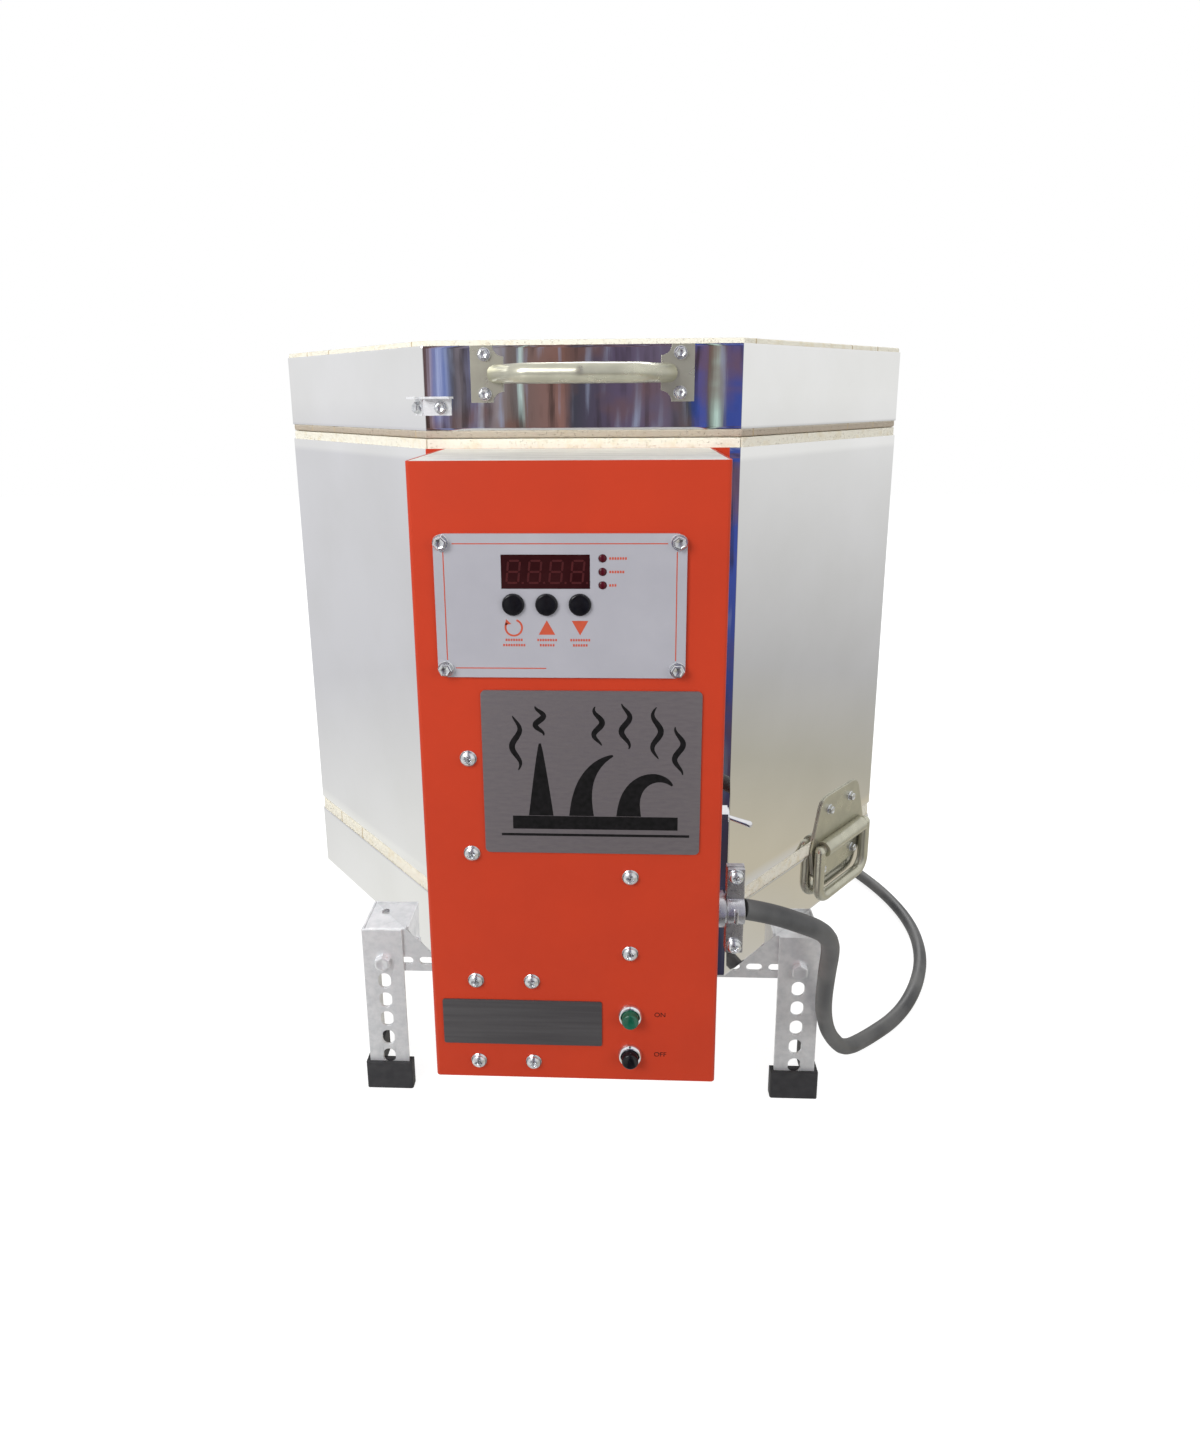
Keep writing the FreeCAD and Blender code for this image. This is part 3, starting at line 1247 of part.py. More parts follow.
bracket_plate = block("0 - hinge_plate_wide / 2", "skin_face", "hinge_plate_top - hinge_plate_high",
                      "hinge_plate_wide", "hinge_plate_thick", "hinge_plate_high")
bracket_corners = [
    ("skin_face + hinge_plate_thick / 2", "hinge_plate_top - hinge_plate_high + cheek_inset"),
    ("skin_face + hinge_plate_thick + cheek_foot", "hinge_plate_top - hinge_plate_high + cheek_inset"),
    ("hinge_y + hinge_eye_radius * 0.9", "hinge_z - 2"),
    ("hinge_y - hinge_eye_radius * 0.8", "hinge_z + 2"),
    ("skin_face + hinge_plate_thick / 2", "hinge_plate_top"),
]
rod_hole = rod("0 - hinge_plate_wide", "hinge_y", "hinge_z", "hinge_rod_radius + hinge_rod_fit",
               "2 * hinge_plate_wide", "right")
bracket = join(bracket_plate, *[cheek(f"{side} * cheek_x", bracket_corners, "hinge_eye_radius") for side in (-1, 1)])
node("hinge_bracket", cut(bracket, rod_hole))
leaf_low = "hinge_z + hinge_leaf_lift"
leaf_plate = block("0 - hinge_leaf_wide / 2", "skin_face", leaf_low, "hinge_leaf_wide", "hinge_plate_thick",
                   "hinge_leaf_high")
leaf_corners = [
    ("skin_face + hinge_plate_thick / 2", leaf_low),
    ("hinge_y - 3", "hinge_z - hinge_eye_radius * 0.5"),
    ("hinge_y + hinge_eye_radius * 0.9", "hinge_z + 2"),
    ("skin_face + hinge_plate_thick + cheek_foot", f"{leaf_low} + hinge_leaf_high - cheek_inset"),
    ("skin_face + hinge_plate_thick / 2", f"{leaf_low} + hinge_leaf_high - cheek_inset"),
]
leaf = join(leaf_plate, *[cheek(f"{side} * leaf_cheek_x", leaf_corners, "hinge_eye_radius") for side in (-1, 1)])
node("hinge_leaf", cut(leaf, rod_hole))
node("hinge_rod", rod("0 - cheek_x - cheek_thick / 2 - 3", "hinge_y", "hinge_z", "hinge_rod_radius",
                      "2 * cheek_x + cheek_thick + 6", "right"))
bracket_screws = [screw(f"{side} * hinge_screw_x", "skin_face + hinge_plate_thick",
                        f"hinge_plate_top - hinge_plate_high / 2 + {up} * hinge_plate_high / 4", "back", "hex")
                  for side in (-1, 1) for up in (-1, 1)]
leaf_screws = [screw(f"{side} * hinge_screw_x", "skin_face + hinge_plate_thick",
                     f"{leaf_low} + hinge_leaf_high / 2 + {up} * hinge_leaf_high / 4", "back", "hex")
               for side in (-1, 1) for up in (-1, 1)]
node("lid_screws", group(*handle_screws, front_screw, side_screw, *leaf_screws))


# Carry handles: a folded plate whose barrel holds the ends of a bail, on two diagonal faces.
def carry_plate():
    """The plate, drawn on the front face: upper and lower wings and the barrel between them."""
    body = doc.addObject("PartDesign::Body", "carry_plate")
    sketch = sketch_on(body, "XZ_Plane")
    half, top_half = "carry_wide / 2", "carry_top_wide / 2"
    top, low = "carry_top", "0 - carry_bottom"
    outline(sketch, [(f"0 - {half}", "0"), (f"0 - {half} + 6", low), (f"{half} - 6", low), (half, "0"),
                     (top_half, top), (f"0 - {top_half}", top)])
    base = pad(body, sketch, "carry_plate_thick")
    fillet(body, base, "carry_corner", lambda edge: along_y(edge) and abs(edge.Vertexes[0].Point.z) > 1)
    place(body, "carry_u", "carry_face", "carry_pivot_z")
    barrel = rod("carry_u - carry_barrel_wide / 2", "carry_pin_y", "carry_pivot_z", "carry_barrel_radius",
                 "carry_barrel_wide", "right")
    bore = rod("carry_u - carry_barrel_wide", "carry_pin_y", "carry_pivot_z", "carry_bore",
               "2 * carry_barrel_wide", "right")
    return cut(join(body, barrel), bore)


def bail():
    """A bent bar: a U that hangs from two pins in the barrel."""
    half = value("bail_wide") / 2
    pin_z = value("carry_pivot_z")
    pin_y = value("carry_pin_y")
    middle = value("carry_u")
    low = pin_z - value("bail_drop")
    route = [(middle - half, pin_y, pin_z), (middle - half, pin_y, low), (middle + half, pin_y, low),
             (middle + half, pin_y, pin_z)]
    shape, length, radii = tube_shape(route, value("bail_radius"), value("bail_corner"))
    loop = feature_of(shape, "bail")
    pins = []
    for side, heading in ((-1, "right"), (1, "left")):
        x = f"carry_u + {side} * bail_wide / 2"
        pins.append(rod(x, "carry_pin_y", "carry_pivot_z", "carry_pin",
                        "(bail_wide - carry_barrel_wide) / 2 + carry_pin_long", heading))
        knob = doc.addObject("Part::Sphere", "knob")
        bind(knob, Radius="bail_radius")
        pins.append(place(knob, x, "carry_pin_y", "carry_pivot_z"))
    return join(loop, *pins)


def carry_screws():
    """Four hexagon screws of one carry handle."""
    spots = [("carry_screw_high_x", "carry_screw_high_z"), ("carry_screw_low_x", "0 - carry_screw_low_z")]
    return [screw(f"carry_u + {side} * {across}", "carry_face - carry_plate_thick", f"carry_pivot_z + {up}",
                  "front", "hex", "carry_plate_thick + skin + 5") for side in (-1, 1) for across, up in spots]


carry_plates, carry_screw_groups = [], []
for name, angle in (("right", 45), ("left", 225)):
    turn = Rotation(Vector(0, 0, 1), angle)
    carry_plates.append(place(carry_plate(), "0", "0", "0", turn))
    node(f"carry_bail_{name}", place(bail(), "0", "0", "0", turn))
    carry_screw_groups.append(place(group(*carry_screws()), "0", "0", "0", turn))
node("carry_plates", group(*carry_plates))
node("body_screws", group(*seam_screws, *back_screws, *bracket_screws, *carry_screw_groups))

doc.recompute()
troubled = [thing.Label for thing in doc.Objects if "Invalid" in thing.State or "Error" in thing.State]
if troubled:
    raise RuntimeError("these did not compute: " + ", ".join(troubled))
for thing in nodes:
    if thing.Shape.isNull() or not thing.Shape.isValid() or not thing.Shape.Solids:
        raise RuntimeError(thing.Label + " is not a valid solid")

os.makedirs("parts", exist_ok=True)
whole = FreeCAD.BoundBox()
for thing in nodes:
    thing.Shape.exportStep(f"parts/{thing.Label}.step")
    whole.add(thing.Shape.BoundBox)
print(len(nodes), "nodes, box", whole)
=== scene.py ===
# %% [markdown]
# This is the looks of an electric kiln for pottery. The CAD model is its frame: every Blender
# piece is in the same metres, so a surface is worked out where it stands and nothing is fitted.
# The front, with the control box, faces -Y, and the floor is z = 0.

import math

import bmesh
import bpy
import numpy as np
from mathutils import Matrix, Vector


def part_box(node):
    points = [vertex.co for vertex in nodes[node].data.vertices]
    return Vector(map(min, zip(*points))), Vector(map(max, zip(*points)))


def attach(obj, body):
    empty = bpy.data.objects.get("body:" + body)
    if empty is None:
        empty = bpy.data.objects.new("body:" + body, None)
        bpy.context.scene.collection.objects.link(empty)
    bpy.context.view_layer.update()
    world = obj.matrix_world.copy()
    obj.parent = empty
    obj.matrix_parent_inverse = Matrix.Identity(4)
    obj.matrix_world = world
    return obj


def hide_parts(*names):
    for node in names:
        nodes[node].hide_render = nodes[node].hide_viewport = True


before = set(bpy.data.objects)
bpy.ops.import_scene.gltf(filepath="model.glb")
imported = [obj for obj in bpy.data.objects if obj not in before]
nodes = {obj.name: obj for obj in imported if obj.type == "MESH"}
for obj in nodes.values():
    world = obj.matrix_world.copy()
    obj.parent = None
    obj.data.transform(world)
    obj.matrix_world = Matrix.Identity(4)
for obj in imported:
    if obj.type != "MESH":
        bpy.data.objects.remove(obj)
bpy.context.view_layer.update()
scene = bpy.context.scene

slab_low, slab_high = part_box("floor_slab")
KILN_Y = (slab_low.y + slab_high.y) / 2
FLAT = (slab_high.x - slab_low.x) / 2
box_low, box_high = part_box("box_cover")
BOX_FACE = box_low.y
BOX_SIDE = box_high.x
BOX_X = (box_low.x + box_high.x) / 2
print("kiln axis at y", round(KILN_Y, 4), "half across flats", round(FLAT, 4))

# %% [markdown]
# The camera stands a little right of the kiln's middle, close, at about the height of the lid,
# and looks down by 12 degrees. Its place, angles and focal length come from a fit: corners, edges
# and screws, at sizes within 3 mm of this model's, were laid over the same points of the photo.
# They are written as they came out: the turn about each axis.

# %% Camera
CAMERA_PLACE = (0.023201, -0.752997, 0.587170)
CAMERA_TURN_LEFT = math.radians(2.282)
CAMERA_PITCH_DOWN = math.radians(11.823)
CAMERA_ROLL = math.radians(-0.4286)
FOCAL_PIXELS = 806.45
MIDDLE_PIXEL = (585.93, 563.59)
PHOTO_WIDE, PHOTO_HIGH = 1200, 1440

camera_data = bpy.data.cameras.new("camera")
camera_data.sensor_width = 36
camera_data.lens = FOCAL_PIXELS * 36 / PHOTO_HIGH
camera_data.shift_x = (PHOTO_WIDE / 2 - MIDDLE_PIXEL[0]) / PHOTO_HIGH
camera_data.shift_y = (MIDDLE_PIXEL[1] - PHOTO_HIGH / 2) / PHOTO_HIGH
camera = bpy.data.objects.new("camera", camera_data)
scene.collection.objects.link(camera)
scene.camera = camera

turn, pitch = CAMERA_TURN_LEFT, -CAMERA_PITCH_DOWN
forward = np.array([-math.sin(turn) * math.cos(pitch), math.cos(turn) * math.cos(pitch), math.sin(pitch)])
level_right = np.array([math.cos(turn), math.sin(turn), 0])
level_up = np.cross(level_right, forward)
right = math.cos(CAMERA_ROLL) * level_right + math.sin(CAMERA_ROLL) * level_up
up = math.cos(CAMERA_ROLL) * level_up - math.sin(CAMERA_ROLL) * level_right
camera_matrix = np.eye(4)
camera_matrix[:3, 0], camera_matrix[:3, 1], camera_matrix[:3, 2] = right, up, -forward
camera_matrix[:3, 3] = CAMERA_PLACE
camera.matrix_world = camera_matrix.T.tolist()
scene.view_settings.view_transform = "Standard"

# %% [markdown]
# The mains cord leaves the clamp on the box's side, drops, runs round the right of the stand and
# is put away behind the kiln in two turns, with its plug beside them. A NURBS curve of order 3
# gives the line that a stiff rubber cord takes. Its points are given one by one, the coil's from
# a circle, and the whole is one spline, because a real cord is one piece from end to end.

# %% Mains cord
CORD_RADIUS = 0.00625
CORD_OUT = [
    (102, -344, 272), (119, -339, 266), (141, -335, 256), (158, -325, 243), (169, -307, 220),
    (174, -283, 181), (180, -257, 130), (192, -226, 86), (206, -197, 48), (224, -176, 17),
    (251, -152, 6.5), (290, -124, 6.5), (322, -83, 6.5), (344, -36, 6.5), (351, 14, 6.5),
    (342, 64, 6.5), (322, 110, 6.5), (294, 152, 6.5), (258, 190, 6.5), (216, 220, 6.5),
    (168, 238, 6.5), (120, 243, 6.5),
]
CORD_TO_PLUG = [
    (120, 243, 19.3), (86, 242.5, 18.8), (54, 245, 11), (22, 250, 9.5), (-8, 253, 15),
    (-38, 254, 21),
]
COIL_CENTRE = np.array([120, 305.5])
COIL_POINTS_PER_TURN = 15
COIL_RADIUS = 63.3
FLOOR_TURN_Z, TOP_TURN_Z = 6.5, 19.2


def coil_points():
    """Two turns of cord, clockwise from the side next to the kiln, the second lying on the first.

    Point k is at the angle 270 - 24 k degrees, and the climb from turn to turn is a smooth step.
    """
    k = np.arange(1, 2 * COIL_POINTS_PER_TURN)
    angle = np.radians(270 - k * 360 / COIL_POINTS_PER_TURN)
    share = np.clip((k - 9.5) / 4.5, 0, 1)
    z = FLOOR_TURN_Z + (TOP_TURN_Z - FLOOR_TURN_Z) * share * share * (3 - 2 * share)
    radius = COIL_RADIUS + 0.5 * np.sin(angle * 2 + 1)
    return np.stack([COIL_CENTRE[0] + radius * np.cos(angle), COIL_CENTRE[1] + radius * np.sin(angle), z], 1)


def in_row_frame(points):
    """Millimetres about the kiln's axis to metres in the row's frame."""
    points = np.asarray(points, float) / 1000
    return points + np.array([0, KILN_Y, 0])


cord_points = in_row_frame(np.concatenate([CORD_OUT, coil_points(), CORD_TO_PLUG]))
cord_curve = bpy.data.curves.new("mains_cord", "CURVE")
cord_curve.dimensions = "3D"
cord_spline = cord_curve.splines.new("NURBS")
cord_spline.points.add(len(cord_points) - 1)
cord_spline.points.foreach_set("co", np.c_[cord_points, np.ones(len(cord_points))].ravel())
cord_spline.points.foreach_set("radius", np.full(len(cord_points), CORD_RADIUS))
cord_spline.order_u = 3
cord_spline.use_endpoint_u = True
cord_spline.resolution_u = 10
cord_curve.bevel_depth = 1
cord_curve.bevel_resolution = 6
cord_curve.use_fill_caps = True
mains_cord = bpy.data.objects.new("mains_cord", cord_curve)
scene.collection.objects.link(mains_cord)
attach(mains_cord, "kiln_body")
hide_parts("power_cord", "cord_coil", "cord_end")

# %% [markdown]
# Every new piece is a grid of points worked out with numpy, so one helper turns grids into
# a mesh: neighbouring points become the corners of quads, and rows that fall on one point close
# a pole when the doubles are merged.

# %% Grids to meshes


def grid(points, close_rows=False, close_columns=False):
    """Vertices and quads of a surface given as points[row, column].

    The quad at (i, j) joins points (i, j), (i, j + 1), (i + 1, j + 1) and (i + 1, j). A closed
    direction also joins its last line of points to its first.
    """
    points = np.asarray(points, float)
    rows, columns = points.shape[:2]
    i = np.arange(rows if close_rows else rows - 1)[:, None]
    j = np.arange(columns if close_columns else columns - 1)[None, :]
    next_i, next_j = (i + 1) % rows, (j + 1) % columns
    corners = [i * columns + j, i * columns + next_j, next_i * columns + next_j, next_i * columns + j]
    faces = np.stack(np.broadcast_arrays(*corners), -1).reshape(-1, 4)
    return points.reshape(-1, 3), faces


def copies(surface, places, turns=None):
    """The same surface at several places, turned by a 3 x 3 matrix each if asked."""
    points, faces = surface
    places = np.atleast_2d(np.asarray(places, float))
    turned = points[None] if turns is None else np.einsum("nij,vj->nvi", np.asarray(turns, float), points)
    every = turned + places[:, None, :]
    steps = np.arange(len(places))[:, None, None] * len(points)
    return every.reshape(-1, 3), (faces[None] + steps).reshape(-1, 4)


def piece(name, surfaces, body, sharp=35, replaces=()):
    """One object from several surfaces, riding on a CAD body, smooth up to the sharp angle."""
    starts = np.cumsum([0] + [len(points) for points, faces in surfaces[:-1]])
    vertices = np.concatenate([points for points, faces in surfaces])
    faces = np.concatenate([faces + start for (points, faces), start in zip(surfaces, starts)])
    mesh = bpy.data.meshes.new(name)
    mesh.from_pydata(vertices, [], faces)
    shell = bmesh.new()
    shell.from_mesh(mesh)
    bmesh.ops.remove_doubles(shell, verts=shell.verts, dist=2e-6)
    bmesh.ops.recalc_face_normals(shell, faces=shell.faces)
    shell.to_mesh(mesh)
    shell.free()
    mesh.shade_smooth()
    mesh.set_sharp_from_angle(angle=math.radians(sharp))
    made = bpy.data.objects.new(name, mesh)
    scene.collection.objects.link(made)
    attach(made, body)
    if replaces:
        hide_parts(*replaces)
    print(name, len(mesh.polygons), "faces")
    return made


def turned_profile(profile, steps=48, waist=None):
    """A profile of (radius, height) turned about Z: the point at angle a is (r cos a, r sin a, h).

    waist, if given, is a function of the angle that scales the radius, as for a hexagon.
    """
    profile = np.asarray(profile, float)
    angle = np.arange(steps) / steps * math.tau
    scale = np.ones(steps) if waist is None else waist(angle)
    x = profile[:, None, 0] * (np.cos(angle) * scale)[None]
    y = profile[:, None, 0] * (np.sin(angle) * scale)[None]
    z = np.broadcast_to(profile[:, None, 1], x.shape)
    return grid(np.stack([x, y, z], -1), close_columns=True)


def tube(path, radius, steps=12, up_hint=(0, 0, 1), closed=False):
    """A round tube along a path: each ring lies in the plane across the path's direction.

    The ring's first axis is the direction crossed with up_hint, its second is the direction
    crossed with the first. An open tube's ends are closed by rings of no radius.
    """
    path = np.asarray(path, float)
    radius = np.broadcast_to(np.asarray(radius, float), len(path))
    if closed:
        along = np.roll(path, -1, 0) - np.roll(path, 1, 0)
    else:
        along = np.gradient(path, axis=0)
    along /= np.linalg.norm(along, axis=1)[:, None]
    side = np.cross(along, np.asarray(up_hint, float))
    side /= np.linalg.norm(side, axis=1)[:, None]
    over = np.cross(side, along)
    angle = np.arange(steps) / steps * math.tau
    ring = side[:, None] * np.cos(angle)[None, :, None] + over[:, None] * np.sin(angle)[None, :, None]
    points = path[:, None] + ring * radius[:, None, None]
    if not closed:
        first = np.broadcast_to(path[:1, None], (1, steps, 3))
        last = np.broadcast_to(path[-1:, None], (1, steps, 3))
        points = np.concatenate([first, points, last])
    return grid(points, close_rows=closed, close_columns=True)


def ripple(points, size, seed):
    """A smooth uneven field from -1 to 1: the mean of eight sine waves of unlike directions."""
    chance = np.random.default_rng(seed)
    waves = chance.normal(size=(8, 3)) / size
    phases = chance.uniform(0, math.tau, 8)
    return np.sin(points @ waves.T + phases).mean(-1)


FACE_FRONT = np.array([[1, 0, 0], [0, 0, -1], [0, 1, 0]], float)
FACE_RIGHT = np.array([[0, 0, 1], [0, 1, 0], [-1, 0, 0]], float)
FACE_BACK = np.array([[-1, 0, 0], [0, 0, 1], [0, 1, 0]], float)


def turn_z(degrees):
    """The matrix of a turn about Z."""
    c, s = math.cos(math.radians(degrees)), math.sin(math.radians(degrees))
    return np.array([[c, -s, 0], [s, c, 0], [0, 0, 1]])


def at_kiln(x, y, z):
    """A point about the kiln's axis, in the row's frame."""
    return np.array([x, y + KILN_Y, z])

# %% [markdown]
# Most finishes here are one base with patches of a second tone, a roughness that follows the
# patches, and a fine relief. Two shader groups hold those effects. Both read Object coordinates,
# so the pattern has its real size in metres and stays where it is on the piece.

# %% Shader groups


def new_group(name, inputs, outputs):
    """An empty shader group with named sockets."""
    made = bpy.data.node_groups.new(name, "ShaderNodeTree")
    for label, kind, default in inputs:
        socket = made.interface.new_socket(label, in_out="INPUT", socket_type="NodeSocket" + kind)
        socket.default_value = default
    for label, kind in outputs:
        made.interface.new_socket(label, in_out="OUTPUT", socket_type="NodeSocket" + kind)
    return made, made.nodes.new("NodeGroupInput"), made.nodes.new("NodeGroupOutput")


def stretched_place(tree, start):
    """Object coordinates times the group's Stretch."""
    place = tree.nodes.new("ShaderNodeTexCoord")
    stretch = tree.nodes.new("ShaderNodeVectorMath")
    stretch.operation = "MULTIPLY"
    tree.links.new(place.outputs["Object"], stretch.inputs[0])
    tree.links.new(start.outputs["Stretch"], stretch.inputs[1])
    return stretch.outputs[0]


def noise_of_size(tree, start, place, size_name, detail):
    """Noise whose patches are about as large as the named input says, in metres."""
    scale = tree.nodes.new("ShaderNodeMath")
    scale.operation = "DIVIDE"
    scale.inputs[0].default_value = 1
    noise = tree.nodes.new("ShaderNodeTexNoise")
    noise.inputs["Detail"].default_value = detail
    tree.links.new(start.outputs[size_name], scale.inputs[1])
    tree.links.new(scale.outputs[0], noise.inputs["Scale"])
    tree.links.new(place, noise.inputs["Vector"])
    return noise.outputs["Fac"], scale.outputs[0]


def build_mottle():
    """Colour = main + (second - main) x mask; the mask is noise spread between Low and High."""
    made, start, end = new_group(
        "mottle",
        [("Main", "Color", (1, 1, 1, 1)), ("Second", "Color", (1, 1, 1, 1)), ("Patch", "Float", 0.02),
         ("Stretch", "Vector", (1, 1, 1)), ("Low", "Float", 0.35), ("High", "Float", 0.65)],
        [("Color", "Color"), ("Mask", "Float")])
    noise, scale = noise_of_size(made, start, stretched_place(made, start), "Patch", 5)
    spread = made.nodes.new("ShaderNodeMapRange")
    mix = made.nodes.new("ShaderNodeMix")
    mix.data_type = "RGBA"
    made.links.new(noise, spread.inputs["Value"])
    made.links.new(start.outputs["Low"], spread.inputs["From Min"])
    made.links.new(start.outputs["High"], spread.inputs["From Max"])
    made.links.new(spread.outputs["Result"], mix.inputs["Factor"])
    made.links.new(start.outputs["Main"], mix.inputs[6])
    made.links.new(start.outputs["Second"], mix.inputs[7])
    made.links.new(mix.outputs[2], end.inputs["Color"])
    made.links.new(spread.outputs["Result"], end.inputs["Mask"])
    return made


def build_relief():
    """Normal from noise of one grain size, less round pits of the same size where Pits is above 0."""
    made, start, end = new_group(
        "relief",
        [("Grain", "Float", 0.001), ("Stretch", "Vector", (1, 1, 1)), ("Pits", "Float", 0),
         ("Depth", "Float", 0.0002)],
        [("Normal", "Vector"), ("Height", "Float")])
    place = stretched_place(made, start)
    noise, scale = noise_of_size(made, start, place, "Grain", 4)
    cells = made.nodes.new("ShaderNodeTexVoronoi")
    made.links.new(place, cells.inputs["Vector"])
    made.links.new(scale, cells.inputs["Scale"])
    hollow = made.nodes.new("ShaderNodeMapRange")
    hollow.inputs["From Min"].default_value = 0.1
    hollow.inputs["From Max"].default_value = 0.32
    hollow.inputs["To Min"].default_value = -1
    hollow.inputs["To Max"].default_value = 0
    made.links.new(cells.outputs["Distance"], hollow.inputs["Value"])
    height = made.nodes.new("ShaderNodeMath")
    height.operation = "MULTIPLY_ADD"
    made.links.new(hollow.outputs["Result"], height.inputs[0])
    made.links.new(start.outputs["Pits"], height.inputs[1])
    made.links.new(noise, height.inputs[2])
    bump = made.nodes.new("ShaderNodeBump")
    made.links.new(height.outputs[0], bump.inputs["Height"])
    made.links.new(start.outputs["Depth"], bump.inputs["Distance"])
    made.links.new(bump.outputs["Normal"], end.inputs["Normal"])
    made.links.new(height.outputs[0], end.inputs["Height"])
    return made


MOTTLE = build_mottle()
RELIEF = build_relief()


def add_group(tree, group, **values):
    """The group as a node of the tree, with its own values."""
    made = tree.nodes.new("ShaderNodeGroup")
    made.node_tree = group
    for label, value in values.items():
        made.inputs[label].default_value = value
    return made


def finish(name, main, second, patch=0.02, stretch=(1, 1, 1), spread=(0.35, 0.65), rough=(0.4, 0.5),
           metallic=0.0, grain=0.001, grain_stretch=(1, 1, 1), pits=0.0, depth=0.0, **constants):
    """A material with mottled colour and roughness and a fine relief.

    rough gives the roughness of the main and of the second tone. constants are values of the
    shader's own sockets, such as coat_weight, that are the same all over the surface.
    """
    made = bpy.data.materials.new(name)
    made.use_nodes = True
    tree = made.node_tree
    shader = tree.nodes["Principled BSDF"]
    shader.inputs["Metallic"].default_value = metallic
    for label, value in constants.items():
        words = {"ior": "IOR"}.get(label, label.replace("_", " ").title().replace("Ior", "IOR"))
        shader.inputs[words].default_value = value
    tone = add_group(tree, MOTTLE, Main=(*main, 1), Second=(*second, 1), Patch=patch, Stretch=stretch,
                     Low=spread[0], High=spread[1])
    tree.links.new(tone.outputs["Color"], shader.inputs["Base Color"])
    gloss = tree.nodes.new("ShaderNodeMapRange")
    gloss.inputs["To Min"].default_value, gloss.inputs["To Max"].default_value = rough
    tree.links.new(tone.outputs["Mask"], gloss.inputs["Value"])
    tree.links.new(gloss.outputs["Result"], shader.inputs["Roughness"])
    if depth:
        relief = add_group(tree, RELIEF, Grain=grain, Stretch=grain_stretch, Pits=pits, Depth=depth)
        tree.links.new(relief.outputs["Normal"], shader.inputs["Normal"])
    return made


# %% [markdown]
# The metals differ in how sharp a mirror they make. The jacket is bright rolled stainless, almost
# a mirror. Zinc plate and galvanised angle blur what they reflect, and the badge is brushed, so
# its grain is stretched along the brushing. Their colours are the metals' own.

# %% Metals
stainless = finish("bright_stainless", (0.86, 0.86, 0.87), (0.82, 0.82, 0.82), patch=0.09,
                   rough=(0.012, 0.03), metallic=1, grain=0.006, grain_stretch=(1, 1, 0.05), depth=0.000005)
zinc_plate = finish("yellowish_zinc", (0.58, 0.57, 0.465), (0.50, 0.49, 0.40), patch=0.012,
                    rough=(0.26, 0.34), metallic=0.75, grain=0.0016, depth=0.000004)
galvanised = finish("galvanised_angle", (0.93, 0.94, 0.96), (0.78, 0.80, 0.82), patch=0.006,
                    spread=(0.36, 0.68), rough=(0.32, 0.44), metallic=0.5, grain=0.003, depth=0.00003)
bare_steel = finish("pale_top_plate", (0.95, 0.95, 0.91), (0.52, 0.52, 0.50), patch=0.012,
                    stretch=(0.16, 2.4, 1), spread=(0.46, 0.80), rough=(0.3, 0.45), metallic=0.15,
                    grain=0.001, depth=0.00002)
badge_metal = finish("brushed_badge", (0.30, 0.27, 0.28), (0.24, 0.215, 0.23), patch=0.0022,
                     stretch=(0.25, 1, 1), rough=(0.34, 0.44), metallic=0.7, grain=0.0005,
                     grain_stretch=(0.03, 1, 1), depth=0.00001)
label_metal = finish("brushed_label", (0.15, 0.145, 0.15), (0.10, 0.095, 0.10), patch=0.004,
                     stretch=(0.04, 1, 1), rough=(0.36, 0.46), metallic=0.6, grain=0.0005,
                     grain_stretch=(0.03, 1, 1), depth=0.00001)
chrome = finish("chrome_fittings", (0.82, 0.82, 0.84), (0.72, 0.72, 0.76), patch=0.004, rough=(0.05, 0.12),
                metallic=1)
screw_zinc = finish("zinc_screws", (0.80, 0.81, 0.83), (0.62, 0.64, 0.66), patch=0.003, rough=(0.18, 0.3),
                    metallic=1, grain=0.0006, depth=0.00001)
clamp_zinc = finish("clamp_casting", (0.70, 0.70, 0.73), (0.50, 0.50, 0.53), patch=0.004, rough=(0.22, 0.36),
                    metallic=1, grain=0.0008, depth=0.00004)
element_wire = finish("element_wire", (0.25, 0.21, 0.19), (0.12, 0.10, 0.09), patch=0.006, rough=(0.5, 0.7),
                      metallic=0.7, grain=0.0004, depth=0.00002)
brass = finish("brass_terminals", (0.75, 0.56, 0.25), (0.55, 0.38, 0.15), patch=0.003, rough=(0.2, 0.35),
               metallic=1)
core_steel = finish("transformer_core", (0.30, 0.28, 0.27), (0.18, 0.17, 0.16), patch=0.004,
                    stretch=(1, 1, 0.05), rough=(0.4, 0.55), metallic=0.8, grain=0.0006,
                    grain_stretch=(0.02, 0.02, 1), depth=0.00005)

# %% [markdown]
# Firebrick is full of tiny holes, so it gets pits as well as grain, and no gloss at all. The
# paint is smooth with the faint orange peel of powder coating. Rubber is dark and dull, and the
# keys, lamps and window are moulded plastic with a clear, sharp highlight.

# %% Brick, paint, plastic and rubber
firebrick = finish("insulating_firebrick", (0.97, 0.93, 0.80), (0.86, 0.76, 0.54), patch=0.008,
                   spread=(0.52, 0.85), rough=(0.92, 0.98), grain=0.0022, pits=0.9, depth=0.0005,
                   specular_ior_level=0.1)
box_paint = finish("orange_powder_coat", (0.60, 0.050, 0.016), (0.56, 0.046, 0.015), patch=0.05,
                   rough=(0.40, 0.46), grain=0.0016, depth=0.00002, specular_ior_level=0.25)
face_plate = finish("pale_face_plate", (0.46, 0.455, 0.50), (0.43, 0.425, 0.47), patch=0.03,
                    rough=(0.4, 0.46), grain=0.0007, depth=0.00001, specular_ior_level=0.3)
display_glass = finish("dark_red_window", (0.026, 0.004, 0.005), (0.034, 0.006, 0.007), patch=0.01,
                       rough=(0.12, 0.2), specular_ior_level=0.2)
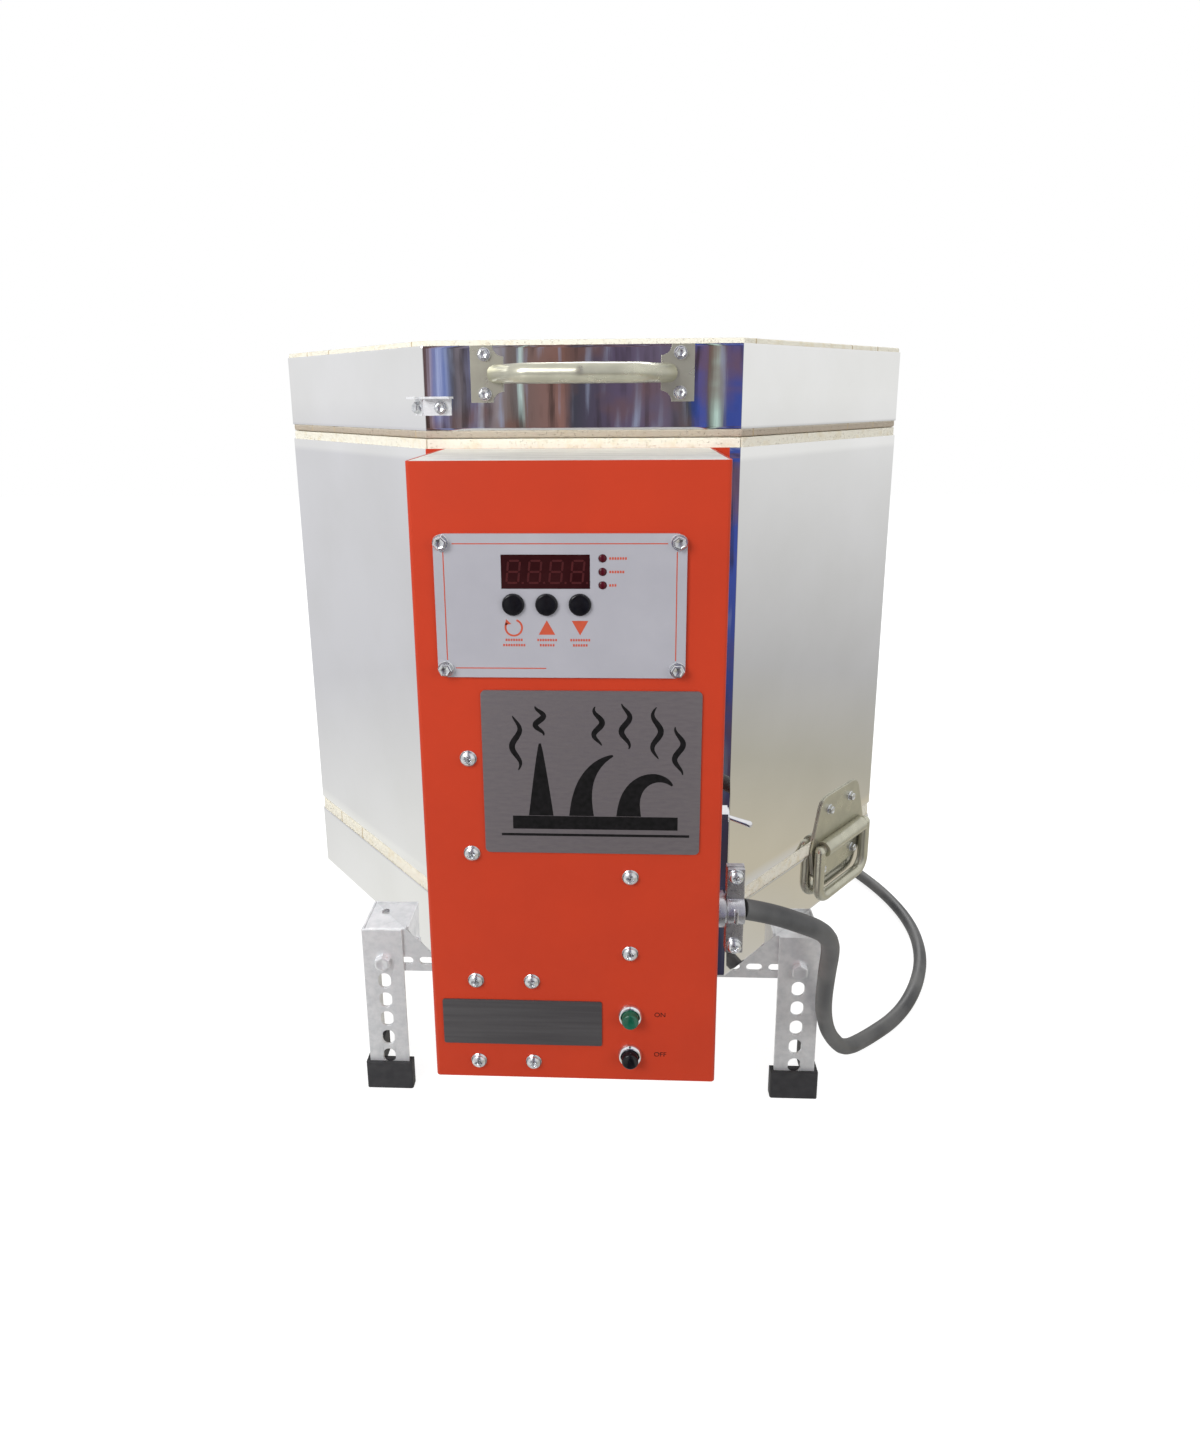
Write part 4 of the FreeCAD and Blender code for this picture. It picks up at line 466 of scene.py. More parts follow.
lit_segment = finish("sleeping_segments", (0.075, 0.013, 0.014), (0.060, 0.010, 0.012), patch=0.004,
                     rough=(0.3, 0.4), specular_ior_level=0.2)
lamp_red = finish("dark_red_lamps", (0.085, 0.004, 0.012), (0.055, 0.003, 0.008), patch=0.002,
                  rough=(0.1, 0.2), specular_ior_level=0.3)
black_gloss = finish("black_keys", (0.004, 0.004, 0.006), (0.008, 0.008, 0.010), patch=0.004,
                     rough=(0.14, 0.22), grain=0.0006, depth=0.000004, specular_ior_level=0.3)
green_gloss = finish("green_button", (0.006, 0.095, 0.055), (0.010, 0.12, 0.07), patch=0.004,
                     rough=(0.15, 0.25))
cord_rubber = finish("cord_rubber", (0.046, 0.047, 0.050), (0.15, 0.15, 0.148), patch=0.05,
                     rough=(0.42, 0.6), grain=0.0009, depth=0.00005)
cap_rubber = finish("foot_cap_rubber", (0.036, 0.036, 0.040), (0.055, 0.055, 0.058), patch=0.008,
                    rough=(0.5, 0.7), grain=0.001, depth=0.00008, specular_ior_level=0.3)
porcelain = finish("porcelain", (0.86, 0.83, 0.77), (0.78, 0.74, 0.66), patch=0.006, rough=(0.2, 0.35))
board_green = finish("board_green", (0.01, 0.13, 0.05), (0.02, 0.18, 0.07), patch=0.002, rough=(0.3, 0.4))
gear_black = finish("gear_black", (0.03, 0.03, 0.035), (0.05, 0.05, 0.055), patch=0.006, rough=(0.4, 0.55),
                    grain=0.0008, depth=0.00004)
gear_clear = finish("gear_clear", (0.62, 0.60, 0.55), (0.52, 0.50, 0.45), patch=0.006, rough=(0.2, 0.3))
orange_print = finish("orange_print", (0.60, 0.085, 0.035), (0.55, 0.08, 0.035), patch=0.003,
                      rough=(0.5, 0.6))
black_print = finish("black_print", (0.006, 0.006, 0.006), (0.012, 0.011, 0.012), patch=0.003,
                     rough=(0.5, 0.6), specular_ior_level=0.1)
mains_cord.data.materials.append(cord_rubber)

# %% [markdown]
# The slabs are built of several bricks cemented side by side, and the joints show as faint lines.
# A Brick Texture in Object coordinates gives the lines their real spacing of whole bricks. On the
# lid, the few millimetres that show below its band grow darker and browner towards the lower edge.

# %% Slab finish with brick joints
BRICK_LONG, BRICK_WIDE, JOINT_WIDE = 0.2286, 0.1143, 0.0005


def lay_over(tree, shader, mask, color):
    """Mix a colour over what feeds the shader: colour = before x (1 - mask) + new x mask."""
    mix = tree.nodes.new("ShaderNodeMix")
    mix.data_type = "RGBA"
    mix.inputs[7].default_value = (*color, 1)
    tree.links.new(shader.inputs["Base Color"].links[0].from_socket, mix.inputs[6])
    tree.links.new(mask, mix.inputs["Factor"])
    tree.links.new(mix.outputs[2], shader.inputs["Base Color"])


def slab_finish(name, darker_below=None):
    """The firebrick finish with joint lines, made darker and browner below a height if one is given."""
    made = firebrick.copy()
    made.name = name
    tree = made.node_tree
    shader = tree.nodes["Principled BSDF"]
    place = tree.nodes.new("ShaderNodeTexCoord")
    if darker_below is not None:
        # Below the given height the colour goes darker and browner towards the slab's lower edge.
        height = tree.nodes.new("ShaderNodeSeparateXYZ")
        tree.links.new(place.outputs["Object"], height.inputs[0])
        darker_rim = tree.nodes.new("ShaderNodeMapRange")
        darker_rim.inputs["From Min"].default_value = darker_below + 0.0004
        darker_rim.inputs["From Max"].default_value = darker_below - 0.0012
        darker_rim.inputs["To Max"].default_value = 0.85
        tree.links.new(height.outputs["Z"], darker_rim.inputs["Value"])
        lay_over(tree, shader, darker_rim.outputs["Result"], (0.50, 0.42, 0.33))
    bricks = tree.nodes.new("ShaderNodeTexBrick")
    for label, value in (("Scale", 1), ("Brick Width", BRICK_LONG), ("Row Height", BRICK_WIDE),
                         ("Mortar Size", JOINT_WIDE), ("Mortar Smooth", 0.3)):
        bricks.inputs[label].default_value = value
    tree.links.new(place.outputs["Object"], bricks.inputs["Vector"])
    lay_over(tree, shader, bricks.outputs["Fac"], (0.62, 0.50, 0.32))
    return made


band_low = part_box("lid_band")[0].z
slab_brick = slab_finish("slab_of_firebricks")
lid_brick = slab_finish("lid_of_firebricks", darker_below=band_low)

# %% [markdown]
# A CAD node whose shape is right stays. Its mesh is loose triangles, so a Weld modifier joins
# them, and a narrow Bevel rounds the edges: real edges are never sharp, and the small round is
# what catches the light. Where parts are tiny, the edges are only split.

# %% Dress the CAD nodes that stay


def dress(name, material, bevel=0.0):
    """Give a CAD node its finish, and rounded or split edges."""
    node = nodes[name]
    node.data.materials.clear()
    node.data.materials.append(material)
    node.data.polygons.foreach_set("use_smooth", np.ones(len(node.data.polygons), bool))
    weld = node.modifiers.new("join triangles", "WELD")
    weld.merge_threshold = 1e-5
    if bevel:
        round_edges = node.modifiers.new("round edges", "BEVEL")
        round_edges.width = bevel
        round_edges.segments = 2
        round_edges.limit_method = "ANGLE"
        round_edges.angle_limit = math.radians(35)
        node.modifiers.new("flat faces stay flat", "WEIGHTED_NORMAL")
    else:
        split = node.modifiers.new("crisp edges", "EDGE_SPLIT")
        split.split_angle = math.radians(35)


CAD_FINISHES = {
    "brick_course_lower": (firebrick, 0.0008), "brick_course_middle": (firebrick, 0.0008),
    "brick_course_upper": (firebrick, 0.0008),
    "element_sleeves": (porcelain, 0), "element_terminals": (brass, 0), "thermocouple": (porcelain, 0),
    "thermocouple_block": (porcelain, 0.0008), "seam_strips": (stainless, 0.0003),
    "stand_rails_long": (galvanised, 0.0003), "stand_rails_short": (galvanised, 0.0003),
    "stand_legs": (galvanised, 0.0003), "foot_caps": (cap_rubber, 0.0008),
    "box_back_plate": (box_paint, 0.0003), "box_cover": (box_paint, 0.0008),
    "box_top_plate": (bare_steel, 0.0003), "controller_plate": (face_plate, 0),
    "display_window": (display_glass, 0.0002), "controller_board": (board_green, 0.0002),
    "board_posts": (chrome, 0), "badge_plate": (badge_metal, 0.0004), "label_plate": (label_metal, 0.0002),
    "toggle_body": (chrome, 0.0002), "contactor": (gear_black, 0.0008), "power_relay": (gear_clear, 0.0008),
    "control_transformer": (core_steel, 0.0006), "terminal_block": (gear_black, 0.0006),
    "cord_clamp_body": (clamp_zinc, 0.0004), "cord_clamp_strap": (clamp_zinc, 0.0004),
    "cord_inner_end": (cord_rubber, 0), "power_plug": (cord_rubber, 0.0008),
    "lid_handle": (zinc_plate, 0.0003), "lid_band_clip": (galvanised, 0.0002),
    "hinge_bracket": (zinc_plate, 0.0004), "hinge_leaf": (zinc_plate, 0.0004),
    "hinge_rod": (zinc_plate, 0.0004),
    "carry_plates": (zinc_plate, 0.0003), "carry_bail_right": (zinc_plate, 0),
    "carry_bail_left": (zinc_plate, 0),
}
for node_name, (material, bevel) in CAD_FINISHES.items():
    dress(node_name, material, bevel)

# %% [markdown]
# The stainless skins are flat sheets folded into an octagon, with a small radius at each bend.
# A mirror shows every unevenness, so the outer face gets ripples of about a tenth of a
# millimetre, inwards only. That makes the reflections waver as they do on real sheet.

# %% Bent octagons
BEND_RADIUS = 0.0018
SHEET_THICK = 0.0008
FADE_HIGH = 0.03
NORMAL_EDGE = 0.0004


def octagon_ring(half_flat, bend, per_flat=30, per_bend=4):
    """Points and outward directions, counter-clockwise round an octagon with bent corners.

    On side k the outward direction is 45 k degrees. Round the next bend it turns by 45 degrees,
    about a centre on the corner of an octagon that is smaller by the bend's radius. Each flat has
    a narrow first and last step, so that the smoothed normals of the bend don't reach into it.
    """
    inner = half_flat - bend
    half = inner * math.tan(math.pi / 8)
    side = np.radians(45 * np.arange(8))[:, None]
    out = np.stack([np.cos(side), np.sin(side)], -1)
    along = np.stack([-np.sin(side), np.cos(side)], -1)
    near_bend = half - NORMAL_EDGE
    steps = np.r_[-half, np.linspace(-near_bend, near_bend, per_flat - 2), half][None, :, None]
    flats = inner * out + steps * along
    angle = side + np.radians(45 * np.arange(1, per_bend) / per_bend)[None]
    centres = np.broadcast_to(inner * out + half * along, (8, per_bend - 1, 2))
    spots = np.concatenate([flats, centres], 1).reshape(-1, 2)
    angles = np.concatenate([np.broadcast_to(side, (8, per_flat)), angle], 1).reshape(-1)
    directions = np.stack([np.cos(angles), np.sin(angles)], -1)
    return spots + bend * directions, directions


def skin(low, high, seed):
    """A closed sheet round the octagon: outer face, rounded top edge, inner face, bottom edge.

    A point lies at the ring's point plus its outward direction times the profile's offset, less
    the ripple on the outer face.
    """
    ring, out = octagon_ring(FLAT + SHEET_THICK, BEND_RADIUS)
    rise = np.linspace(low + 0.0004, high - 0.0004, 36)
    outer = np.stack([np.zeros_like(rise), rise], -1)
    edge = np.array([[-0.0001, 0.0003], [-0.0004, 0.0004], [-0.0007, 0.0003]])
    top = edge + [0, high - 0.0004]
    inner = np.array([[-SHEET_THICK, high - 0.0005], [-SHEET_THICK, low + 0.0005]])
    bottom = edge[::-1] * [1, -1] + [0, low + 0.0004]
    profile = np.concatenate([outer, top, inner, bottom])
    flat_xy = ring[:, None] + out[:, None] * profile[None, :, :1]
    z = np.broadcast_to(profile[None, :, 1], flat_xy.shape[:2])
    points = np.dstack([flat_xy, z])
    wave = 0.00007 * (1 + ripple(points * [1, 1, 0.6], 0.03, seed))
    fade = np.zeros(len(profile))
    fade[:len(rise)] = np.clip(np.minimum(rise - low, high - rise) / FADE_HIGH, 0, 1)
    points[..., :2] -= out[:, None] * (wave * fade)[..., None]
    points[..., 1] += KILN_Y
    return grid(points, close_rows=True, close_columns=True)


def skin_piece(name, node, body, seed):
    """The skin that stands for a CAD band or jacket, with its height."""
    low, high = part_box(node)
    made = piece(name, [skin(low.z, high.z, seed)], body, replaces=[node])
    made.data.materials.append(stainless)
    return made


skin_piece("lid_band_sheet", "lid_band", "lid", 3)
skin_piece("jacket_sheet", "jacket", "kiln_body", 5)
skin_piece("base_band_sheet", "base_band", "kiln_body", 8)

# %% [markdown]
# The floor slab and the lid are sawn from soft firebrick. Their edges crumble, so the edge is
# rounded and the surface wanders by a fraction of a millimetre.

# %% Slabs
SLAB_EDGE = 0.0012


def slab(low, high, seed):
    """An octagonal slab: a profile of (share of the half width, height) carried round the ring.

    The profile starts and ends on the axis, so both faces close in a point, and the ripple moves
    each point outwards or inwards by its share.
    """
    ring, out = octagon_ring(FLAT, 0.0016, per_flat=40, per_bend=4)
    e = SLAB_EDGE / FLAT
    shares = np.concatenate([np.linspace(0, 1 - e, 14), [1 - 0.3 * e, 1]])
    heights = np.concatenate([np.zeros(14), [0.3 * SLAB_EDGE, SLAB_EDGE]])
    wall = np.linspace(SLAB_EDGE, high - low - SLAB_EDGE, 12)[1:-1]
    share = np.concatenate([shares, np.ones(len(wall)), shares[::-1]])
    height = np.concatenate([heights, wall, high - low - heights[::-1]]) + low
    heights_round = np.broadcast_to(height, (len(ring), len(height)))
    points = np.dstack([ring[:, None] * share[None, :, None], heights_round])
    wander = 0.00025 * (ripple(points, 0.004, seed) - 1) * share[None]
    points[..., :2] += out[:, None] * wander[..., None]
    points[..., 1] += KILN_Y
    return grid(points, close_rows=True)


for name, node, body, seed, material in (("lid_of_firebrick", "lid_slab", "lid", 11, lid_brick),
                                         ("floor_of_firebrick", "floor_slab", "kiln_body", 12, slab_brick)):
    low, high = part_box(node)
    made = piece(name, [slab(low.z, high.z, seed)], body, sharp=60, replaces=[node])
    made.data.materials.append(material)

# %% [markdown]
# An element is a long coil of resistance wire that lies in a groove of the wall. It is a helix
# about a line that runs round the groove: the line's point, plus a small circle in the plane
# across it. Its two ends turn outwards through the front brick to the control box.

# %% Heating elements
COURSE_HIGH, GROOVE_FIRST, GROOVE_PITCH = 0.1143, 0.0286, 0.0571
COIL_FLAT, COIL_CORNER = 0.1994, 0.014
COIL_OUTER, WIRE_RADIUS, COIL_PITCH = 0.0047, 0.0008, 0.0036
TAIL_SPREAD, TAIL_RADIUS = 0.044, 0.0016
wall_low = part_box("brick_course_lower")[0].z
element_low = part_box("heating_elements")[0]
FRONT_SIDE = 6


def coil_line():
    """The line round a groove, from one tail to the other, as evenly spaced points and directions."""
    ring, out = octagon_ring(COIL_FLAT, COIL_CORNER, per_flat=60, per_bend=10)
    per_side = len(ring) // 8
    start = FRONT_SIDE * per_side + 30
    ring, out = np.roll(ring, -start, 0), np.roll(out, -start, 0)
    keep = ~((np.abs(ring[:, 0]) < TAIL_SPREAD / 2) & (ring[:, 1] < 0))
    ring, out = ring[keep], out[keep]
    step = np.r_[0, np.cumsum(np.linalg.norm(np.diff(ring, axis=0), axis=1))]
    even = np.linspace(0, step[-1], int(step[-1] / COIL_PITCH * 9))
    return (np.stack([np.interp(even, step, ring[:, a]) for a in (0, 1)], -1),
            np.stack([np.interp(even, step, out[:, a]) for a in (0, 1)], -1), even)


def coil_of_wire(z):
    """Helix: line + (outer - wire) x (cos t outwards + sin t upwards), t one turn per pitch."""
    line, out, even = coil_line()
    t = even / COIL_PITCH * math.tau
    reach = COIL_OUTER - WIRE_RADIUS
    helix = np.c_[line + out * (reach * np.cos(t))[:, None], z + reach * np.sin(t)]
    helix[:, 1] += KILN_Y
    return tube(helix, WIRE_RADIUS, steps=5, up_hint=(0.31, 0.17, 0.93))


element_heights = [wall_low + course * COURSE_HIGH + GROOVE_FIRST + groove * GROOVE_PITCH
                   for course in range(3) for groove in range(2)]
for number, name in enumerate(("lower_element_coils", "middle_element_coils", "upper_element_coils")):
    coils = [coil_of_wire(z) for z in element_heights[2 * number:2 * number + 2]]
    made = piece(name, coils, "kiln_body", sharp=80)
    made.data.materials.append(element_wire)
tails = [tube([at_kiln(side * TAIL_SPREAD / 2, -COIL_FLAT, z), at_kiln(side * TAIL_SPREAD / 2, -0.225, z),
               (side * TAIL_SPREAD / 2, element_low.y, z)], TAIL_RADIUS)
         for z in element_heights for side in (-1, 1)]
made = piece("element_tails", tails, "kiln_body", replaces=["heating_elements"])
made.data.materials.append(element_wire)

# %% [markdown]
# Screws are small, but their washers and cross recesses are what the eye finds on the plain box.
# A head is a height over a round grid of points, so a recess is just a place where that
# height dips. One head is worked out, and whole arrays of places make its copies.

# %% Screw heads


def soft_step(value, low, high):
    """0 below low, 1 above high, and a smooth slope between."""
    t = np.clip((value - low) / (high - low), 0, 1)
    return t * t * (3 - 2 * t)


def pan_head(radius=0.0042, high=0.0026, washer=0.0050, washer_thick=0.0008, recess=0.0017):
    """A pan head on a washer: height = dome of the radius, less the cross recess, then the rim."""
    angle = np.arange(48) / 48 * math.tau
    r = np.linspace(0, radius, 18)[:, None]
    x, y = r * np.cos(angle), r * np.sin(angle)
    arm = 1 - soft_step(np.minimum(abs(x), abs(y)), 0.0004, 0.0009)
    reach = 1 - soft_step(np.hypot(x, y), 0.0019, 0.0028)
    dome = washer_thick + high * (1 - (r / radius) ** 2.4 * 0.55)
    z = dome - recess * arm * reach
    rim = np.array([[radius, washer_thick], [washer - 0.0002, washer_thick], [washer, washer_thick - 0.0002],
                    [washer, 0], [0, 0]])
    rim_x, rim_y = rim[:, :1] * np.cos(angle), rim[:, :1] * np.sin(angle)
    rim_z = np.broadcast_to(rim[:, 1:], rim_x.shape)
    points = np.dstack([np.r_[x, rim_x], np.r_[y, rim_y], np.r_[z, rim_z]])
    return grid(points, close_columns=True)


def hexagon_waist(angle):
    """The radius of a hexagon of unit inner radius at each angle: 1 over the cosine to the flat."""
    return 1 / np.cos((angle + math.pi / 6) % (math.pi / 3) - math.pi / 6)


def hex_head(across, high, flange=0.0, flange_thick=0.0):
    """A hexagon with a chamfered, slightly hollow top, on a round flange if it has one."""
    half = across / 2
    top = flange_thick + high
    crown = turned_profile([(0, top - 0.0004), (half * 0.55, top - 0.0003), (half * 0.72, top),
                            (half * 0.9, top - 0.0001), (half, top - 0.0005), (half, flange_thick * 0.5),
                            (0, flange_thick * 0.5)], 48, hexagon_waist)
    if not flange:
        return [crown]
    rim = turned_profile([(0, flange_thick), (flange - 0.0003, flange_thick), (flange, flange_thick * 0.6),
                          (flange, 0), (0, 0)], 32)
    return [crown, rim]


def heads(kinds, places, turns):
    """Copies of each surface of a head at all the places."""
    return [copies(surface, places, turns) for surface in kinds]


PANEL_X, PANEL_Z = BOX_X - 0.0049, 0.4705
PANEL_THICK = 0.0016
PANEL_FACE = BOX_FACE - PANEL_THICK
PANEL_SCREW_X, PANEL_SCREW_Z = 0.0662, 0.0368
PAN_SCREWS = [(-60.6, 377.8), (-60.6, 316.1), (35.2, 301.4), (35.2, 249.1), (-61.3, 228.1), (-26.1, 228.1),
              (-61.3, 169.3), (-26.1, 169.3)]
CLAMP_X, CLAMP_Z = BOX_SIDE + 0.011, 0.272
CLAMP_EAR_Z, CLAMP_EAR_FACE = 0.024, -0.347
chance = np.random.default_rng(4)


def front_turns(count):
    """Turns that point a head out of the front, each screw stopped at its own angle."""
    return [FACE_FRONT @ turn_z(a) for a in chance.uniform(0, 90, count)]


plate_places = [(PANEL_X + i * PANEL_SCREW_X, PANEL_FACE, PANEL_Z + j * PANEL_SCREW_Z)
                for i in (-1, 1) for j in (-1, 1)]
pan_places = [(BOX_X + x / 1000, BOX_FACE, z / 1000) for x, z in PAN_SCREWS]
clamp_places = [at_kiln(CLAMP_X, CLAMP_EAR_FACE, CLAMP_Z + i * CLAMP_EAR_Z) for i in (-1, 1)]
HEX_ON_PLATE = hex_head(across=0.0070, high=0.0028, flange=0.0047, flange_thick=0.0009)
box_heads = heads(HEX_ON_PLATE, plate_places, front_turns(4))
box_heads += heads([pan_head()], pan_places + clamp_places, front_turns(10))
made = piece("box_screw_heads", box_heads, "kiln_body", replaces=["box_screws"])
made.data.materials.append(screw_zinc)

HEX_FLANGED = hex_head(across=0.0064, high=0.0026, flange=0.0044, flange_thick=0.0008)
SKIN_FACE = FLAT + SHEET_THICK
handle_low, handle_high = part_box("lid_handle")
HANDLE_Z = (handle_low.z + handle_high.z) / 2
FOOT_SCREW_X, FOOT_SCREW_Z, FOOT_THICK = 0.064, 0.0126, 0.002
handle_places = [at_kiln(i * FOOT_SCREW_X, -SKIN_FACE - FOOT_THICK, HANDLE_Z + j * FOOT_SCREW_Z)
                 for i in (-1, 1) for j in (-1, 1)]
CORNER_X = FLAT * math.tan(math.pi / 8)
CLIP_THICK, CLIP_SCREW_Z = 0.0015, 0.5795
clip_front = at_kiln(-CORNER_X + 0.0114, -SKIN_FACE - CLIP_THICK, CLIP_SCREW_Z)
clip_spot = np.array([CORNER_X - 0.0042, -SKIN_FACE - CLIP_THICK, CLIP_SCREW_Z])
clip_side = turn_z(-45) @ clip_spot + [0, KILN_Y, 0]
HINGE_PLATE, HINGE_SCREW_X = 0.002, 0.044
leaf_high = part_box("hinge_leaf")[1]
LEAF_HIGH, BRACKET_HIGH = 0.042, 0.05
leaf_middle = leaf_high.z - LEAF_HIGH / 2
leaf_places = [at_kiln(i * HINGE_SCREW_X, SKIN_FACE + HINGE_PLATE, leaf_middle + j * LEAF_HIGH / 4)
               for i in (-1, 1) for j in (-1, 1)]
lid_turns = front_turns(5) + [turn_z(-45) @ FACE_FRONT] + [FACE_BACK] * 4
lid_places = handle_places + [clip_front, clip_side] + leaf_places
made = piece("lid_screw_heads", heads(HEX_FLANGED, lid_places, lid_turns), "lid",
             replaces=["lid_screws"])
made.data.materials.append(screw_zinc)

# %% Screws and bolts of the body
back_low, back_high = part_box("box_back_plate")
seam_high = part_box("seam_strips")[1]
jacket_low, jacket_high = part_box("jacket")
SEAM_INSET, SEAM_SCREW_INSET, SEAM_THICK, BASE_BAND_HIGH = 0.004, 0.014, 0.0012, 0.054
BACK_SCREW_INSET, BACK_SCREW_END = 0.0055, 0.045
BACK_HALF = (back_high.x - back_low.x) / 2
seam_start, seam_end = jacket_low.z + SEAM_INSET + SEAM_SCREW_INSET, seam_high.z - SEAM_SCREW_INSET
seam_heights = [slab_low.z + SEAM_SCREW_INSET, slab_low.z + BASE_BAND_HIGH - SEAM_SCREW_INSET,
                *np.linspace(seam_start, seam_end, 5)]
seam_places = [at_kiln(0, SKIN_FACE + SEAM_THICK, z) for z in seam_heights]
back_places = [(BOX_X + side * (BACK_HALF - BACK_SCREW_INSET), back_low.y, z) for side in (-1, 1)
               for z in (jacket_low.z + BACK_SCREW_END, jacket_high.z - BACK_SCREW_END)]
bracket_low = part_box("hinge_bracket")[0]
bracket_middle = bracket_low.z + BRACKET_HIGH / 2
bracket_places = [at_kiln(i * HINGE_SCREW_X, SKIN_FACE + HINGE_PLATE, bracket_middle + j * BRACKET_HIGH / 4)
                  for i in (-1, 1) for j in (-1, 1)]
CARRY_MIDDLE, CARRY_PIVOT_Z, CARRY_THICK = 0.05, 0.2094, 0.0015
carry_spots = [(0.017, 0.030), (-0.017, 0.030), (0.025, -0.0225), (-0.025, -0.0225)]
carry_places, carry_turns = [], []
for angle in (45, 225):
    for across, above in carry_spots:
        spot = np.array([CARRY_MIDDLE + across, -SKIN_FACE - CARRY_THICK, CARRY_PIVOT_Z + above])
        carry_places.append(turn_z(angle) @ spot + [0, KILN_Y, 0])
        carry_turns.append(turn_z(angle) @ FACE_FRONT)
body_places = seam_places + bracket_places + back_places + carry_places
body_turns = [FACE_BACK] * (len(seam_places) + len(bracket_places)) + front_turns(4) + carry_turns
made = piece("body_screw_heads", heads(HEX_FLANGED, body_places, body_turns), "kiln_body",
             replaces=["body_screws"])
made.data.materials.append(screw_zinc)

leg_low, leg_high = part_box("stand_legs")
LEG_FACE, LEG_SIDE, BOLT_DROP, ANGLE_THICK, BOLT_OUT = 0.034, 0.038, 0.030, 0.002, 0.005
bolt_z = leg_high.z - BOLT_DROP
bolt_head = hex_head(across=0.012, high=0.0042)
nut_profile = [(0, 0), (0.005, 0), (0.005, BOLT_OUT - 0.0005), (0.0042, BOLT_OUT), (0.003, BOLT_OUT),
               (0.003, BOLT_OUT + 0.0018), (0.0024, BOLT_OUT + 0.0022), (0, BOLT_OUT + 0.0022)]
bolt_nut = [turned_profile(nut_profile, 24, lambda angle: np.ones_like(angle))]
bolt_places, bolt_turns, nut_places, nut_turns = [], [], [], []
for side_x in (-1, 1):
    for side_y in (-1, 1):
        leg_x, leg_y = side_x * leg_high.x, side_y * (leg_high.y - leg_low.y) / 2
        middle_y = (leg_high.y + leg_low.y) / 2
        facing = {-1: FACE_FRONT, 1: FACE_BACK}[side_y]
        sideways = FACE_RIGHT if side_x > 0 else turn_z(180) @ FACE_RIGHT
        bolt_places += [(leg_x - side_x * LEG_FACE / 2, middle_y + leg_y, bolt_z),
                        (leg_x, middle_y + leg_y - side_y * LEG_SIDE / 2, bolt_z)]
        bolt_turns += [facing, sideways]
        nut_places += [(leg_x - side_x * LEG_FACE / 2, middle_y + leg_y - side_y * 2 * ANGLE_THICK, bolt_z),
                       (leg_x - side_x * 2 * ANGLE_THICK, middle_y + leg_y - side_y * LEG_SIDE / 2, bolt_z)]
        nut_turns += [turn_z(180) @ facing, turn_z(180) @ sideways]
bolts = heads(bolt_head, bolt_places, bolt_turns) + heads(bolt_nut, nut_places, nut_turns)
made = piece("stand_bolt_heads", bolts, "kiln_body", replaces=["stand_bolts"])
made.data.materials.append(galvanised)

# %% [markdown]
# The keys, lamps and push buttons are turned shapes: a profile of radius and height carried round
# an axis. Each one has a slight dome or dish, so that it holds a highlight as the real one does.

# %% Keys, lamps and push buttons
KEY_Z, KEY_FIRST_X, KEY_PITCH, KEY_RADIUS, KEY_PROUD = 0.0014, -0.0265, 0.0188, 0.00625, 0.0022
LAMP_X, LAMP_FIRST_Z, LAMP_PITCH, LAMP_RADIUS, LAMP_PROUD = 0.0239, 0.0126, 0.00765, 0.00225, 0.0008


def key_cap():
    """A key: a domed top, a rounded shoulder and a straight skirt down to its flange."""
    t = np.linspace(0, 1, 8)
    top = np.stack([t * (KEY_RADIUS - 0.0008), KEY_PROUD - 0.00035 * t * t], -1)
    a = np.linspace(0.15, math.pi / 2, 5)
    shoulder = np.stack([KEY_RADIUS - 0.0008 * (1 - np.sin(a)), KEY_PROUD - 0.0011 + 0.0008 * np.cos(a)], -1)
    skirt = [(KEY_RADIUS, -PANEL_THICK), (KEY_RADIUS + 0.0009, -PANEL_THICK), (KEY_RADIUS + 0.0009, -0.0023),
             (0, -0.0023)]
    return turned_profile(np.concatenate([top, shoulder, skirt]), 48)


for number, name in enumerate(("program_key", "up_key", "down_key")):
    spot = (PANEL_X + KEY_FIRST_X + number * KEY_PITCH, PANEL_FACE, PANEL_Z + KEY_Z)
    made = piece(f"{name}_cap", [copies(key_cap(), spot, [FACE_FRONT])], name, replaces=[name])
    made.data.materials.append(black_gloss)

lamp_places = [(PANEL_X + LAMP_X, PANEL_FACE, PANEL_Z + LAMP_FIRST_Z + k * LAMP_PITCH) for k in range(3)]
a = np.linspace(0, math.pi / 2, 7)
lens = turned_profile(np.concatenate([np.stack([LAMP_RADIUS * np.sin(a), LAMP_PROUD * np.cos(a)], -1),
                                      [(LAMP_RADIUS, -PANEL_THICK), (0, -PANEL_THICK)]]), 24)
made = piece("lamp_lenses", [copies(lens, lamp_places, [FACE_FRONT] * 3)], "kiln_body",
             replaces=["indicator_lamps"])
made.data.materials.append(lamp_red)

PUSH_X, START_Z, STOP_Z = BOX_X + 0.0354, 0.2049, 0.1759
CAP_RADIUS, BEZEL_RADIUS, BEZEL_PROUD, CAP_PROUD = 0.0052, 0.0078, 0.003, 0.004
BUTTON_BODY_RADIUS, BUTTON_BODY_DEEP = 0.0064, 0.026
top = BEZEL_PROUD + CAP_PROUD
cap_profile = [(0, top - 0.0007), (0.002, top - 0.0006), (0.0036, top - 0.0002), (0.0043, top),
               (0.0048, top - 0.0002), (CAP_RADIUS, top - 0.0008), (CAP_RADIUS, -0.0045), (0, -0.0045)]
for name, z, slot, material in (("start_button", START_Z, "green_gloss", green_gloss),
                                ("stop_button", STOP_Z, "black_gloss", black_gloss)):
    cap = copies(turned_profile(cap_profile, 40), (PUSH_X, BOX_FACE, z), [FACE_FRONT])
    made = piece(f"{name}_cap", [cap], name, replaces=[name])
    made.data.materials.append(material)
